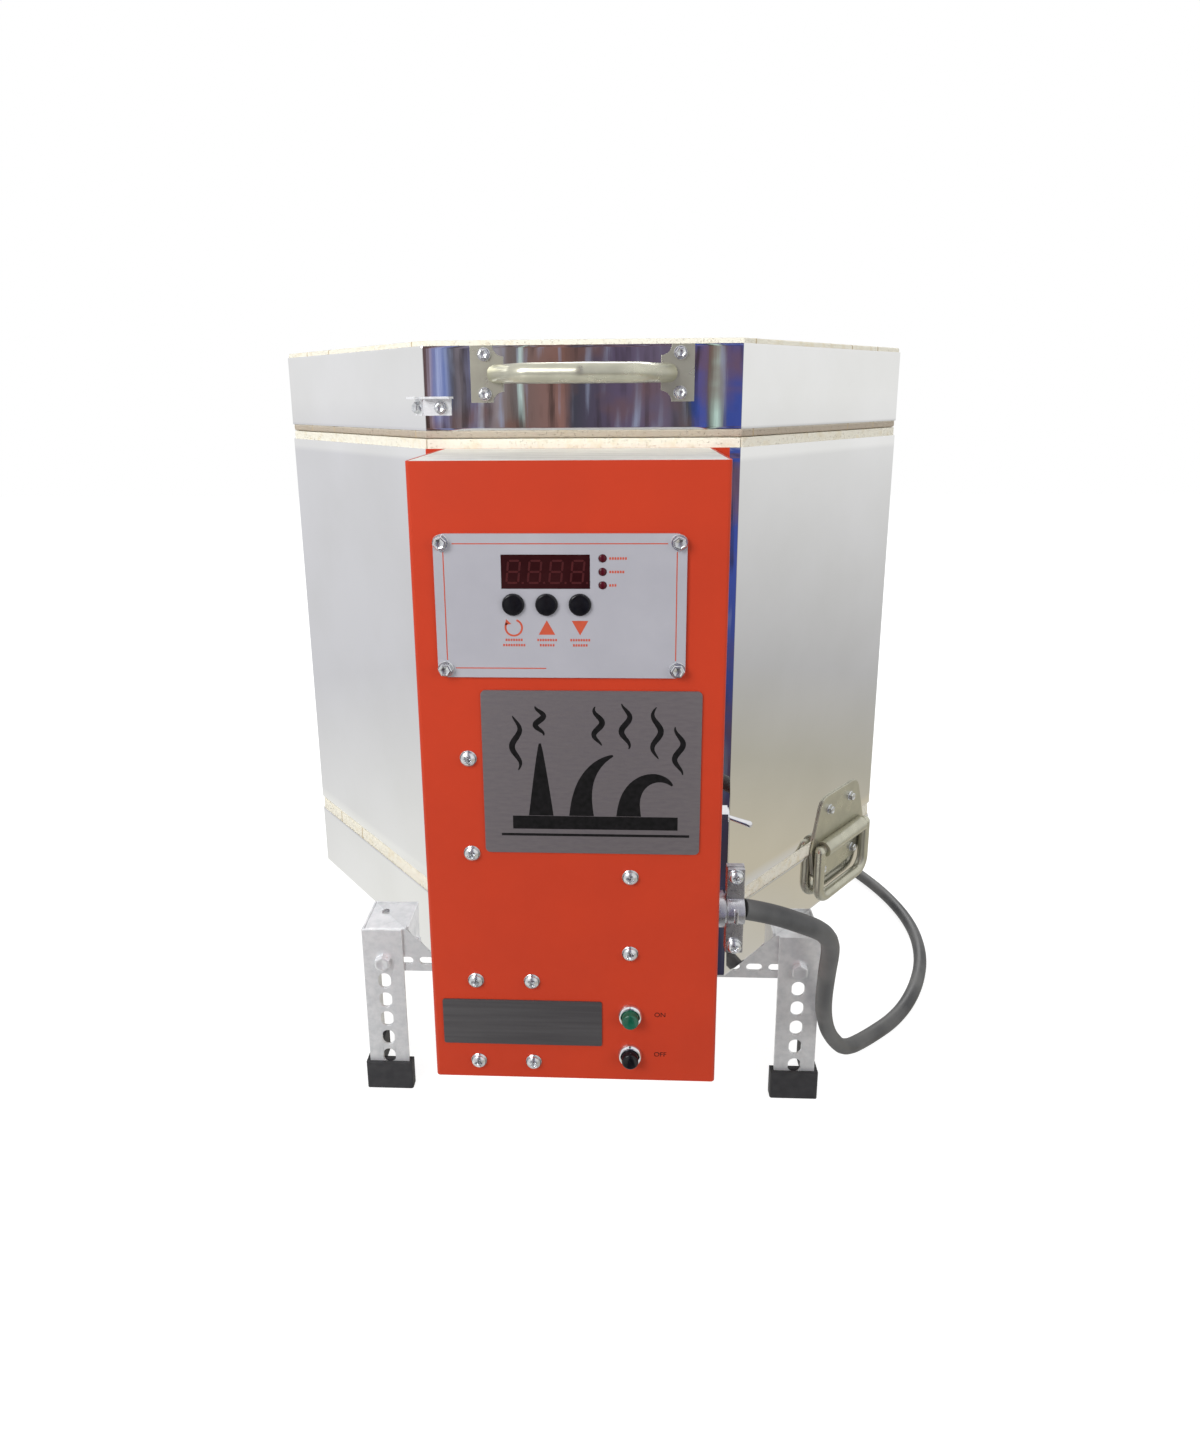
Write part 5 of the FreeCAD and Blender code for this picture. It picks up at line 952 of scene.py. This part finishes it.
bezel_profile = [(0.0053, -0.008), (0.0053, BEZEL_PROUD - 0.0008), (0.0056, BEZEL_PROUD - 0.0002),
                 (0.0062, BEZEL_PROUD), (0.0068, BEZEL_PROUD - 0.0002), (0.0073, BEZEL_PROUD - 0.0009),
                 (BEZEL_RADIUS, 0.0008), (BEZEL_RADIUS, 0), (BUTTON_BODY_RADIUS, 0),
                 (BUTTON_BODY_RADIUS, -BUTTON_BODY_DEEP), (0.003, -BUTTON_BODY_DEEP), (0, -BUTTON_BODY_DEEP),
                 (0, -0.0081), (0.0053, -0.0081), (0.0053, -0.008)]
bezel_places = [(PUSH_X, BOX_FACE, z) for z in (START_Z, STOP_Z)]
made = piece("button_bezels", [copies(turned_profile(bezel_profile, 48), bezel_places, [FACE_FRONT] * 2)],
             "kiln_body", replaces=["push_button_bodies"])
made.data.materials.append(chrome)

# %% [markdown]
# The toggle's lever swings in its bushing. It is thin at the ball and swells to a rounded end, so
# it is one turned profile along the lever's own axis, which rests 20 degrees below level.

# %% Toggle lever
TOGGLE_TILT = 20
PIVOT = np.array([BOX_SIDE + 0.003, -0.330 + KILN_Y, 0.3284])
ball = np.linspace(math.pi, 0.5, 8)
ball_part = np.stack([0.0026 * np.sin(ball), 0.0026 * np.cos(ball)], -1)
stem = [(0.0013, 0.004), (0.0015, 0.009), (0.0019, 0.0165)]
tip = np.linspace(math.pi / 2, 0, 6)
tip_part = np.stack([0.0021 * np.sin(tip), 0.0188 + 0.0021 * np.cos(tip)], -1)
lever = turned_profile(np.concatenate([ball_part, stem, tip_part]), 24)
c, s = math.cos(math.radians(90 + TOGGLE_TILT)), math.sin(math.radians(90 + TOGGLE_TILT))
lean = np.array([[c, 0, s], [0, 1, 0], [-s, 0, c]])
made = piece("toggle_lever_bar", [copies(lever, PIVOT, [lean])], "toggle_lever",
             replaces=["toggle_lever"])
made.data.materials.append(chrome)

# %% [markdown]
# Print on the face plate is a film of ink. Here each mark is a ribbon or a small tile that stands
# a twentieth of a millimetre proud, which gives a crisp edge from any distance. The marks are
# generic: a border, a turning arrow, up and down triangles, and rows of small tiles for captions.

# %% Ribbons and tiles
INK = 0.00005


def ribbon(line, width, thick=INK, closed=False):
    """A flat band along a line in the plane: its edges lie half the width to each side.

    The four rows are the two edges on the surface and the same two raised by the thickness.
    """
    line = np.asarray(line, float)
    if closed:
        along = np.roll(line, -1, 0) - np.roll(line, 1, 0)
    else:
        along = np.gradient(line, axis=0)
    along /= np.linalg.norm(along, axis=1)[:, None]
    half = np.stack([-along[:, 1], along[:, 0]], -1) * np.broadcast_to(width, len(line))[:, None] / 2
    low, high = np.zeros((len(line), 1)), np.full((len(line), 1), thick)
    left, right = line - half, line + half
    rows = [np.c_[left, low], np.c_[left, high], np.c_[right, high], np.c_[right, low]]
    points = np.stack(rows, 1)
    if not closed:
        middle = points.mean(1, keepdims=True)
        points = np.concatenate([np.repeat(middle[:1], 4, 1), points, np.repeat(middle[-1:], 4, 1)])
    return grid(points, close_rows=closed, close_columns=True)


def tile(corners, thick=INK):
    """A flat tile with straight sides: its outline on the surface, raised, and closed at the middle."""
    corners = np.asarray(corners, float)
    flat = np.zeros((len(corners), 1))
    middle = np.broadcast_to(corners.mean(0), corners.shape)
    top = flat + thick
    rows = [np.c_[middle, flat], np.c_[corners, flat], np.c_[corners, top], np.c_[middle, top]]
    return grid(np.stack(rows), close_columns=True)


def bar(x, z, wide, high, thick=INK):
    """A rectangular tile about a middle."""
    return tile([(x - wide / 2, z - high / 2), (x + wide / 2, z - high / 2), (x + wide / 2, z + high / 2),
                 (x - wide / 2, z + high / 2)], thick)


def on_front(surfaces, x, y, z):
    """Surfaces drawn in a plane, stood up on a face that looks to the front."""
    return [copies(surface, (x, y, z), [FACE_FRONT]) for surface in surfaces]


def mark_piece(name, surfaces, place, material):
    """A piece of flat marks on the front at a place."""
    made = piece(name, on_front(surfaces, *place), "kiln_body", sharp=20)
    made.data.materials.append(material)
    return made


# %% Print of the face plate
PRINT_LEFT, PRINT_RIGHT, PRINT_TOP, PRINT_LOW = -0.0655, 0.0655, 0.0362, -0.0362
RULE = 0.0006
ICON_Z = -0.0121
icon_x = [KEY_FIRST_X + k * KEY_PITCH for k in range(3)]
TURN_RADIUS = 0.0047
a = np.radians(np.linspace(-215, 70, 28))
turn_line = np.stack([icon_x[0] + TURN_RADIUS * np.cos(a), ICON_Z + TURN_RADIUS * np.sin(a)], -1)
turning = ribbon(turn_line, 0.0011)
head = tile([(icon_x[0] - 0.0052, ICON_Z + 0.0014), (icon_x[0] - 0.0014, ICON_Z + 0.0022),
             (icon_x[0] - 0.0042, ICON_Z + 0.0050)])
TRIANGLE_HALF, TRIANGLE_BASE, TRIANGLE_TIP = 0.0047, 0.0041, 0.0044
rise = tile([(icon_x[1] - TRIANGLE_HALF, ICON_Z - TRIANGLE_BASE),
             (icon_x[1] + TRIANGLE_HALF, ICON_Z - TRIANGLE_BASE), (icon_x[1], ICON_Z + TRIANGLE_TIP)])
fall = tile([(icon_x[2] - TRIANGLE_HALF, ICON_Z + TRIANGLE_BASE), (icon_x[2], ICON_Z - TRIANGLE_TIP),
             (icon_x[2] + TRIANGLE_HALF, ICON_Z + TRIANGLE_BASE)])
border = [bar(0, PRINT_TOP, 0.120, RULE), bar(PRINT_LEFT + 0.0004, 0, RULE, 0.063),
          bar(PRINT_RIGHT - 0.0004, 0, RULE, 0.063), bar(-0.0345, PRINT_LOW, 0.052, RULE)]
CAPTION_PITCH, CAPTION_WIDE, CAPTION_HIGH = 0.00145, 0.0010, 0.0014


def caption(x, z, count):
    """A row of small tiles about a middle: from a step away it looks like a line of tiny print."""
    first = x - (count - 1) / 2 * CAPTION_PITCH
    return [bar(first + k * CAPTION_PITCH, z, CAPTION_WIDE, CAPTION_HIGH) for k in range(count)]


captions = []
for x, upper, lower in zip(icon_x, (7, 8, 8), (9, 6, 6)):
    captions += caption(x, -0.0193, upper) + caption(x, -0.0224, lower)
for k, count in enumerate((3, 6, 7)):
    captions += caption(LAMP_X + 0.0035 + count * CAPTION_PITCH / 2, LAMP_FIRST_Z + k * LAMP_PITCH, count)
plate_marks = [turning, head, rise, fall] + border + captions
mark_piece("face_plate_print", plate_marks, (PANEL_X, PANEL_FACE, PANEL_Z), orange_print)

# %% [markdown]
# Behind the dark window four digits of seven segments each are asleep. Their bars are a little
# lighter than the window, lean to the right by 6 degrees and have pointed ends.

# %% Digits
WINDOW_X, WINDOW_Z = -0.008, 0.0203
DIGIT_WIDE, DIGIT_HIGH, DIGIT_PITCH, SEGMENT = 0.0066, 0.0126, 0.0120, 0.0012
DIGIT_LEAN = math.tan(math.radians(6))


def segment(x, z, long, upright):
    """A six-sided bar with pointed ends, leaning with its height."""
    half, wide = long / 2 - 0.0003, SEGMENT / 2
    corners = np.array([(-half, 0), (-half + wide, -wide), (half - wide, -wide),
                        (half, 0), (half - wide, wide), (-half + wide, wide)])
    if upright:
        corners = corners[:, ::-1] * [-1, 1]
    corners = corners + [x, z]
    corners[:, 0] += corners[:, 1] * DIGIT_LEAN
    return tile(corners)


digits = []
for k in range(4):
    x = (k - 1.5) * DIGIT_PITCH
    half_wide, quarter = DIGIT_WIDE / 2, DIGIT_HIGH / 4
    digits += [segment(x, z, DIGIT_WIDE, False) for z in (-DIGIT_HIGH / 2, 0, DIGIT_HIGH / 2)]
    digits += [segment(x + i * half_wide, j * quarter, DIGIT_HIGH / 2, True)
               for i in (-1, 1) for j in (-1, 1)]
    digits.append(bar(x + half_wide + 0.0019, -DIGIT_HIGH / 2, 0.0011, 0.0011))
window_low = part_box("display_window")[0]
mark_piece("display_digits", digits, (PANEL_X + WINDOW_X, window_low.y, PANEL_Z + WINDOW_Z),
           lit_segment)

# %% [markdown]
# The badge shows what a kiln is for in plain shapes: three pyrometric cones on a plaque, which
# soften and bend as the heat rises, under waves of warm air. A cone is a ribbon that tapers along
# a line which leans over more and more; a wave is a ribbon along a sine.

# %% Badge
BADGE_X, BADGE_Z, BADGE_THICK = BOX_X + 0.012, 0.369, 0.001


def cone(x, z, high, bend):
    """A tapering ribbon along a line whose direction turns from upright by the bend."""
    t = np.linspace(0, 1, 24)
    angle = bend * t**1.6
    step = high / 23
    line = np.stack([x + np.r_[0, np.cumsum(np.sin(angle[:-1]) * step)],
                     z + np.r_[0, np.cumsum(np.cos(angle[:-1]) * step)]], -1)
    return ribbon(line, 0.0135 * (1 - t) ** 0.85 + 0.0012)


def heat_wave(x, z, high, phase):
    """A ribbon that rises as x = 2.4 mm x sin(z), widest half way up."""
    t = np.linspace(0, 1, 40)
    line = np.stack([x + 0.0024 * np.sin(t * 2.2 * math.tau / 1.4 + phase), z + t * high], -1)
    return ribbon(line, 0.0005 + 0.0030 * np.sin(math.pi * t) ** 0.8)


PLAQUE_TOP = -0.0270
cones = [cone(x, PLAQUE_TOP, high, bend)
         for x, high, bend in ((-0.030, 0.046, 0.0), (-0.006, 0.046, 1.25), (0.022, 0.044, 2.6))]
WAVE_SHAPES = [(-0.044, 0.002, 0.034, 0.4), (-0.030, 0.024, 0.018, 1.2), (0.004, 0.018, 0.024, 2.0),
               (0.020, 0.016, 0.028, 0.9), (0.038, 0.010, 0.032, 2.6), (0.051, 0.000, 0.030, 1.5)]
waves = [heat_wave(*shape) for shape in WAVE_SHAPES]
plaque = [bar(0.002, -0.0315, 0.098, 0.0085), bar(0.002, -0.0395, 0.112, 0.0016)]
mark_piece("badge_motif", cones + waves + plaque, (BADGE_X, BOX_FACE - BADGE_THICK, BADGE_Z),
           black_print)

# %% [markdown]
# Beside the buttons stand the two words that such buttons carry. A text object becomes a mesh
# first, and its letters are then moved into place, so that the piece sits at the origin.

# %% Words beside the buttons


def word(name, text, high, x, z):
    """Capital letters of a given height on the front of the box."""
    curve = bpy.data.curves.new(name, "FONT")
    curve.body = text
    curve.size = high / 0.7
    curve.extrude = INK / 2
    drawn = bpy.data.objects.new(name, curve)
    scene.collection.objects.link(drawn)
    flat = bpy.data.meshes.new_from_object(drawn)
    bpy.data.objects.remove(drawn)
    co = np.zeros(len(flat.vertices) * 3)
    flat.vertices.foreach_get("co", co)
    placed = (co.reshape(-1, 3) + [0, 0, INK / 2]) @ FACE_FRONT.T + [x, BOX_FACE, z]
    flat.vertices.foreach_set("co", placed.ravel())
    flat.materials.clear()
    flat.materials.append(black_print)
    made = bpy.data.objects.new(name, flat)
    scene.collection.objects.link(made)
    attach(made, "kiln_body")


word("start_word", "ON", 0.0032, BOX_X + 0.0505, START_Z - 0.001)
word("stop_word", "OFF", 0.0032, BOX_X + 0.0505, STOP_Z - 0.001)

# %% [markdown]
# The kiln stands on a pale floor in a bright room. What a mirror shows is the room, so the world
# is painted as that room is: light walls to the sides and behind, each a ramp over height, and to
# the front a dark end with upright bands of blue and brown. The bands follow the reflections in
# the photo's lid band: they were first set one by one, then some were changed towards its mean
# colours. Noise lays patches and fine lines over them. The camera itself sees white, and matte
# surfaces see plain grey, so that the painted walls tint only what mirrors them.

# %% Room
world = bpy.data.worlds.new("room")
scene.world = world
world.use_nodes = True
sky = world.node_tree
sky.nodes.clear()


def ramp(tree, stops, source, smooth="LINEAR"):
    """A colour ramp over (position, colour) stops, driven by a value."""
    made = tree.nodes.new("ShaderNodeValToRGB")
    made.color_ramp.interpolation = smooth
    elements = made.color_ramp.elements
    while len(elements) < len(stops):
        elements.new(0.5)
    for element, (position, color) in zip(elements, stops):
        element.position = position
        element.color = (*color, 1)
    tree.links.new(source, made.inputs["Fac"])
    return made.outputs["Color"]


def math_node(tree, operation, *values):
    """A Math node, its inputs numbers or sockets."""
    made = tree.nodes.new("ShaderNodeMath")
    made.operation = operation
    for socket, value in zip(made.inputs, values):
        if isinstance(value, (int, float)):
            socket.default_value = value
        else:
            tree.links.new(value, socket)
    return made.outputs[0]


def mix_node(tree, factor, first, second):
    """A colour mix driven by a socket."""
    made = tree.nodes.new("ShaderNodeMix")
    made.data_type = "RGBA"
    tree.links.new(factor, made.inputs["Factor"])
    tree.links.new(first, made.inputs[6])
    tree.links.new(second, made.inputs[7])
    return made.outputs[2]


def plain_color(color):
    """One colour as a socket of the world's tree."""
    made = sky.nodes.new("ShaderNodeRGB")
    made.outputs[0].default_value = (*color, 1)
    return made.outputs[0]


def share_between(value, start, end, most):
    """0 where the value is at the start, and the most at the end, in a straight line between."""
    made = sky.nodes.new("ShaderNodeMapRange")
    made.inputs["From Min"].default_value = start
    made.inputs["From Max"].default_value = end
    made.inputs["To Max"].default_value = most
    sky.links.new(value, made.inputs["Value"])
    return made.outputs["Result"]


def room_noise(scale, detail, vector):
    """Noise over a direction, from 0 to 1."""
    made = sky.nodes.new("ShaderNodeTexNoise")
    made.inputs["Scale"].default_value = scale
    made.inputs["Detail"].default_value = detail
    sky.links.new(vector, made.inputs["Vector"])
    return made.outputs["Fac"]


heading = sky.nodes.new("ShaderNodeTexCoord").outputs["Generated"]
parts = sky.nodes.new("ShaderNodeSeparateXYZ")
sky.links.new(heading, parts.inputs[0])
x, y, z = parts.outputs
bearing = math_node(sky, "ARCTAN2", x, math_node(sky, "MULTIPLY", y, -1.0))
BAND_FIRST, BAND_LAST = math.radians(-21), math.radians(14)
band_place = math_node(sky, "DIVIDE", math_node(sky, "SUBTRACT", bearing, BAND_FIRST), BAND_LAST - BAND_FIRST)
height_place = math_node(sky, "MULTIPLY_ADD", z, 0.5, 0.5)
LEFT_WALL = [(0.0, (0.75, 0.75, 0.72)), (0.22, (0.92, 0.92, 0.88)), (0.34, (0.68, 0.68, 0.70)),
             (0.47, (0.75, 0.75, 0.77)), (0.5, (0.86, 0.86, 0.86)), (1.0, (1, 1, 1))]
RIGHT_WALL = [(0.0, (0.58, 0.58, 0.57)), (0.16, (0.64, 0.63, 0.60)), (0.24, (0.58, 0.53, 0.41)),
              (0.29, (0.47, 0.45, 0.38)), (0.34, (0.51, 0.505, 0.50)), (0.46, (0.78, 0.78, 0.77)),
              (0.5, (0.90, 0.90, 0.88)), (1.0, (1, 1, 1))]
left_wall = ramp(sky, LEFT_WALL, height_place)
right_wall = ramp(sky, RIGHT_WALL, height_place)
wall = mix_node(sky, math_node(sky, "GREATER_THAN", x, 0.0), left_wall, right_wall)
BANDS = [
    (0.00, (0.60, 0.58, 0.58)), (0.20, (0.60, 0.58, 0.58)), (0.205, (0.10, 0.06, 0.06)),
    (0.228, (0.13, 0.08, 0.08)), (0.234, (0.42, 0.36, 0.46)), (0.243, (0.12, 0.16, 0.42)),
    (0.249, (0.50, 0.56, 0.85)), (0.256, (0.12, 0.17, 0.42)), (0.264, (0.30, 0.36, 0.62)),
    (0.271, (0.07, 0.07, 0.09)), (0.29, (0.24, 0.21, 0.24)), (0.32, (0.12, 0.15, 0.32)),
    (0.327, (0.66, 0.74, 0.86)), (0.334, (0.10, 0.11, 0.16)), (0.36, (0.36, 0.34, 0.37)),
    (0.385, (0.19, 0.15, 0.14)), (0.404, (0.16, 0.14, 0.14)), (0.409, (0.62, 0.80, 0.76)),
    (0.416, (0.19, 0.13, 0.12)), (0.49, (0.28, 0.15, 0.13)), (0.51, (0.06, 0.06, 0.08)),
    (0.60, (0.12, 0.09, 0.15)), (0.70, (0.15, 0.12, 0.18)), (0.748, (0.06, 0.07, 0.07)),
    (0.752, (0.04, 0.09, 0.40)), (0.775, (0.06, 0.10, 0.42)), (0.782, (0.09, 0.09, 0.07)),
    (0.797, (0.60, 0.80, 0.72)), (0.808, (0.14, 0.13, 0.16)), (0.815, (0.05, 0.08, 0.33)),
    (0.865, (0.06, 0.09, 0.35)), (1.00, (0.5, 0.5, 0.5)),
]
bands = ramp(sky, BANDS, band_place)
rust, pale, soot = (0.19, 0.10, 0.08), (0.34, 0.38, 0.52), (0.030, 0.024, 0.022)
patch_share = share_between(room_noise(14, 3, heading), 0.47, 0.66, 0.7)
patched = mix_node(sky, patch_share, bands, plain_color(rust))
across = sky.nodes.new("ShaderNodeCombineXYZ")
sky.links.new(math_node(sky, "MULTIPLY", bearing, 42.0), across.inputs[0])
sky.links.new(math_node(sky, "MULTIPLY", z, 4.0), across.inputs[1])
lines = room_noise(1.6, 4, across.outputs[0])
streaked = mix_node(sky, share_between(lines, 0.56, 0.72, 0.8), patched, plain_color(pale))
darkened = mix_node(sky, share_between(lines, 0.46, 0.34, 0.75), streaked, plain_color(soot))
front_end = mix_node(sky, share_between(z, -0.2, -0.5, 0.85), darkened, plain_color(soot))
near_front = math_node(sky, "MULTIPLY", math_node(sky, "GREATER_THAN", bearing, BAND_FIRST),
                       math_node(sky, "LESS_THAN", bearing, BAND_LAST))
room = mix_node(sky, near_front, wall, front_end)
paths = sky.nodes.new("ShaderNodeLightPath")
seen = sky.nodes.new("ShaderNodeBackground")
seen.inputs["Color"].default_value = (1, 1, 1, 1)
plain = plain_color((0.47, 0.47, 0.47))
lit = sky.nodes.new("ShaderNodeBackground")
sky.links.new(mix_node(sky, paths.outputs["Is Diffuse Ray"], room, plain), lit.inputs["Color"])
choose = sky.nodes.new("ShaderNodeMixShader")
sky.links.new(paths.outputs["Is Camera Ray"], choose.inputs["Fac"])
sky.links.new(lit.outputs[0], choose.inputs[1])
sky.links.new(seen.outputs[0], choose.inputs[2])
output = sky.nodes.new("ShaderNodeOutputWorld")
sky.links.new(choose.outputs[0], output.inputs["Surface"])

# %% Floor
FLOOR_REACH = 4.0
floor_points = np.array([[[-1, -1, 0], [1, -1, 0]], [[-1, 1, 0], [1, 1, 0]]], float) * FLOOR_REACH
floor_vertices, floor_faces = grid(floor_points - [0, 0, 0.0004])
floor_mesh = bpy.data.meshes.new("pale_floor")
floor_mesh.from_pydata(floor_vertices, [], floor_faces[:, ::-1])
floor = bpy.data.objects.new("pale_floor", floor_mesh)
scene.collection.objects.link(floor)
floor_material = bpy.data.materials.new("pale_floor")
floor_material.use_nodes = True
tree = floor_material.node_tree
tree.nodes.clear()
matte = tree.nodes.new("ShaderNodeBsdfDiffuse")
matte.inputs["Color"].default_value = (0.36, 0.36, 0.36, 1)
glow = tree.nodes.new("ShaderNodeEmission")
floor_paths = tree.nodes.new("ShaderNodeLightPath")
floor_glow = math_node(tree, "MULTIPLY_ADD", floor_paths.outputs["Is Camera Ray"], 0.72, 0.15)
tree.links.new(floor_glow, glow.inputs["Strength"])
both = tree.nodes.new("ShaderNodeAddShader")
tree.links.new(matte.outputs[0], both.inputs[0])
tree.links.new(glow.outputs[0], both.inputs[1])
floor_end = tree.nodes.new("ShaderNodeOutputMaterial")
tree.links.new(both.outputs[0], floor_end.inputs["Surface"])
floor_mesh.materials.append(floor_material)
floor.visible_glossy = False


# %% [markdown]
# A soft lamp stands to the left of the camera, a weaker and larger one to its right, which metal
# doesn't mirror, and one is above and behind, so that no side of the kiln falls into darkness.

# %% Lamps


def soft_lamp(name, place, target, size, power, mirrored=True):
    """A square area lamp at a place, turned to face the target; mirrored says if metal shows it."""
    data = bpy.data.lights.new(name, "AREA")
    data.size = size
    data.energy = power
    lamp = bpy.data.objects.new(name, data)
    scene.collection.objects.link(lamp)
    away = np.array(place, float) - np.array(target, float)
    away /= np.linalg.norm(away)
    across = np.cross([0, 0, 1], away)
    across /= np.linalg.norm(across)
    matrix = np.eye(4)
    matrix[:3, 0], matrix[:3, 1], matrix[:3, 2] = across, np.cross(away, across), away
    matrix[:3, 3] = place
    lamp.matrix_world = matrix.T.tolist()
    lamp.visible_glossy = mirrored


soft_lamp("key_lamp", (-0.9, -1.3, 1.2), (0, -0.2, 0.35), 0.7, 15)
soft_lamp("fill_lamp", (1.9, -1.6, 1.1), (0, 0, 0.3), 1.2, 11, mirrored=False)
soft_lamp("back_lamp", (0.4, 2.2, 2.0), (0, 0.1, 0.4), 1.6, 40)
